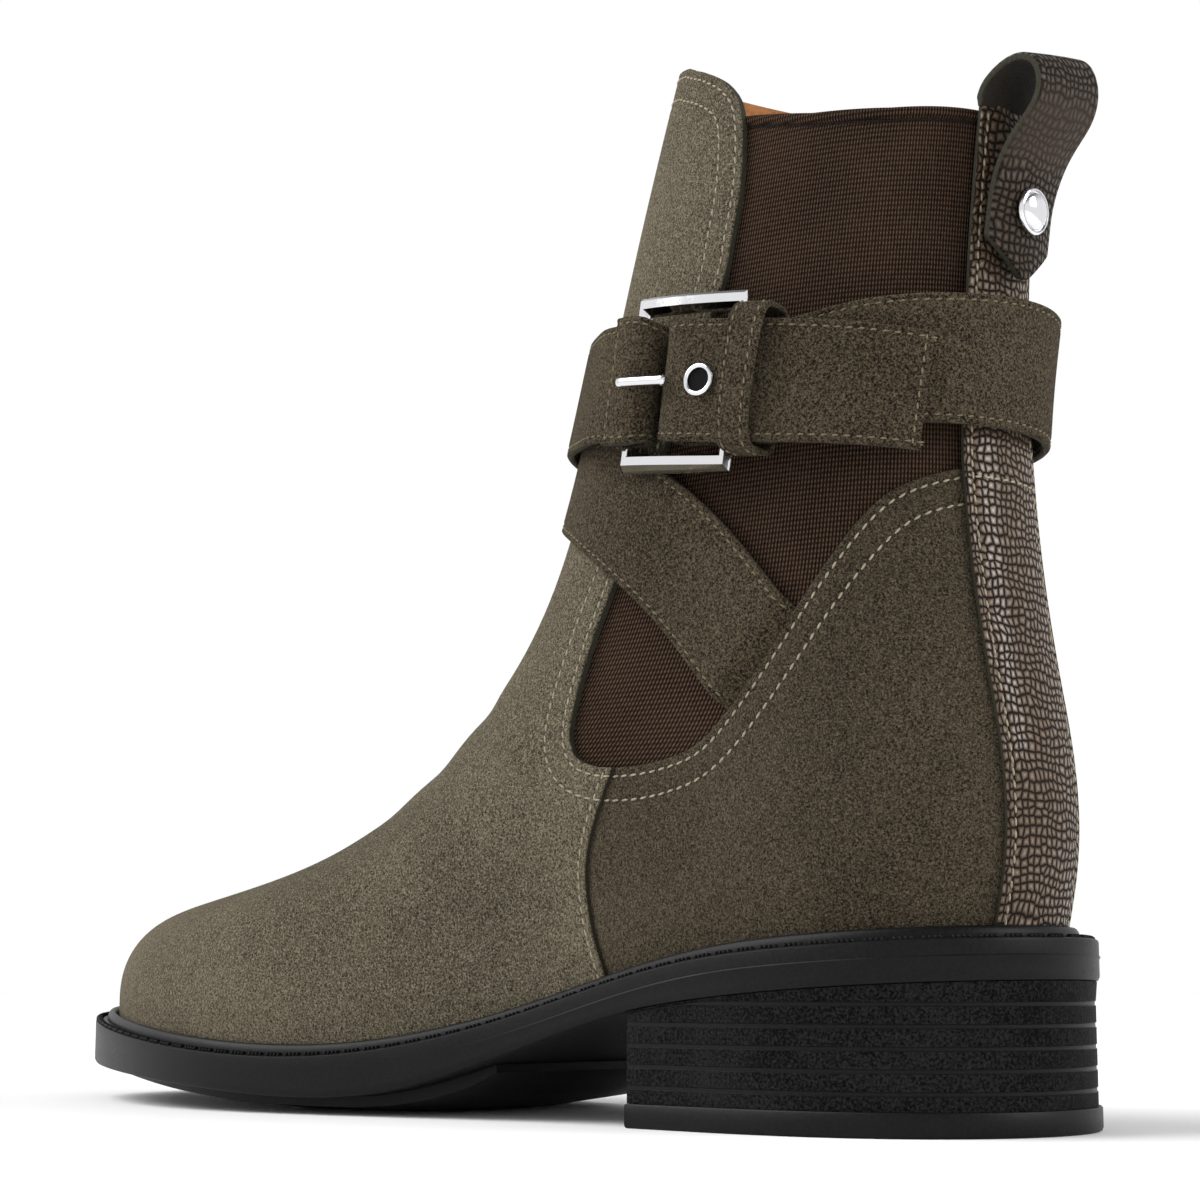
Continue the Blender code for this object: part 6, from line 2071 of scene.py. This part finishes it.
class BootColours(bpy.types.PropertyGroup):
    """Colours of the boot's finishes."""

    suede: colour_property("Suede", "Suede of the vamp", (0.109, 0.0935, 0.0645))
    quarter: colour_property("Quarters", "Suede of the quarters", (0.054, 0.0435, 0.029))
    strap: colour_property("Straps", "Suede of the straps and keeper", (0.048, 0.038, 0.0245))
    elastic: colour_property("Elastic", "Elastic side panels", (0.031, 0.0187, 0.0123))
    embossed: colour_property("Embossed leather", "Back strip and pull loop", (0.106, 0.069, 0.043))
    cut_edge: colour_property("Cut edge", "Raw edges of the leather", (0.035, 0.034, 0.023))
    flesh: colour_property("Flesh side", "Inner face of the pull loop", (0.028, 0.024, 0.018))
    rubber: colour_property("Rubber", "Sole, welt and top lift", (0.0045, 0.0045, 0.0048))
    stack: colour_property("Heel stack", "Layers of the heel", (0.0036, 0.0036, 0.0038))
    lining: colour_property("Lining", "Lining and insole", (0.46, 0.19, 0.06))
    metal: colour_property("Metal", "Buckle, prong, eyelet and stud", (0.74, 0.74, 0.76))
    thread: colour_property("Thread", "Stitches of the upper", (0.33, 0.29, 0.21))
    strap_thread: colour_property("Strap thread", "Stitches of the straps", (0.17, 0.14, 0.085))
    # Near-black colour of the disc in the eyelet: painted shadow in its hole
    hole: colour_property("Hole", "Dark disc in the eyelet", (0.002, 0.002, 0.002))


class BootStageOperator(bpy.types.Operator):
    """Make the floor, the lights and the camera."""

    bl_idname = "boot.make_stage"
    bl_label = "Make Stage"

    def execute(self, context):
        make_stage()
        return {"FINISHED"}


class BootUpperOperator(bpy.types.Operator):
    """Make the suede vamp and quarters, the lining and their stitches."""

    bl_idname = "boot.make_upper"
    bl_label = "Make Upper"

    def execute(self, context):
        make_upper()
        return {"FINISHED"}


class BootGoresOperator(bpy.types.Operator):
    """Make the elastic side panels."""

    bl_idname = "boot.make_gores"
    bl_label = "Make Elastic"

    def execute(self, context):
        make_gores()
        return {"FINISHED"}


class BootBackOperator(bpy.types.Operator):
    """Make the embossed back strip and the pull loop."""

    bl_idname = "boot.make_back"
    bl_label = "Make Back Strip and Loop"

    def execute(self, context):
        make_back_strip()
        make_pull_loop()
        return {"FINISHED"}


class BootStrapsOperator(bpy.types.Operator):
    """Make the harness straps, the keeper and their stitches."""

    bl_idname = "boot.make_straps"
    bl_label = "Make Straps"

    def execute(self, context):
        make_straps()
        return {"FINISHED"}


class BootHardwareOperator(bpy.types.Operator):
    """Make the buckle frame, prong, eyelet and stud."""

    bl_idname = "boot.make_hardware"
    bl_label = "Make Hardware"

    def execute(self, context):
        make_frame()
        make_prong()
        make_eyelet()
        make_stud()
        return {"FINISHED"}


class BootSoleOperator(bpy.types.Operator):
    """Make the outsole, welt, insole, tread, heel and top lift."""

    bl_idname = "boot.make_sole"
    bl_label = "Make Sole and Heel"

    def execute(self, context):
        make_outsole()
        make_welt()
        make_insole()
        make_tread()
        make_heel()
        return {"FINISHED"}


OPERATORS = (BootStageOperator, BootUpperOperator, BootGoresOperator, BootBackOperator, BootStrapsOperator,
             BootHardwareOperator, BootSoleOperator)


class BootPanel(bpy.types.Panel):
    """Buttons and settings of the boot."""

    bl_idname = "VIEW3D_PT_harness_boot"
    bl_label = "Harness Boot"
    bl_space_type = "VIEW_3D"
    bl_region_type = "UI"
    bl_category = "Boot"

    def draw(self, context):
        for operator in OPERATORS:
            self.layout.operator(operator.bl_idname)
        for group in (context.scene.boot_sizes, context.scene.boot_colours):
            for name in group.__annotations__:
                self.layout.prop(group, name)


CLASSES = (BootSizes, BootColours) + OPERATORS + (BootPanel,)


def register():
    for cls in CLASSES:
        bpy.utils.register_class(cls)
    bpy.types.Scene.boot_sizes = PointerProperty(type=BootSizes)
    bpy.types.Scene.boot_colours = PointerProperty(type=BootColours)


def unregister():
    del bpy.types.Scene.boot_colours
    del bpy.types.Scene.boot_sizes
    for cls in reversed(CLASSES):
        bpy.utils.unregister_class(cls)


def main():
    register()
    bpy.ops.boot.make_stage()
    bpy.ops.boot.make_upper()
    bpy.ops.boot.make_gores()
    bpy.ops.boot.make_back()
    bpy.ops.boot.make_straps()
    bpy.ops.boot.make_hardware()
    bpy.ops.boot.make_sole()


if __name__ == "__main__":
    main()
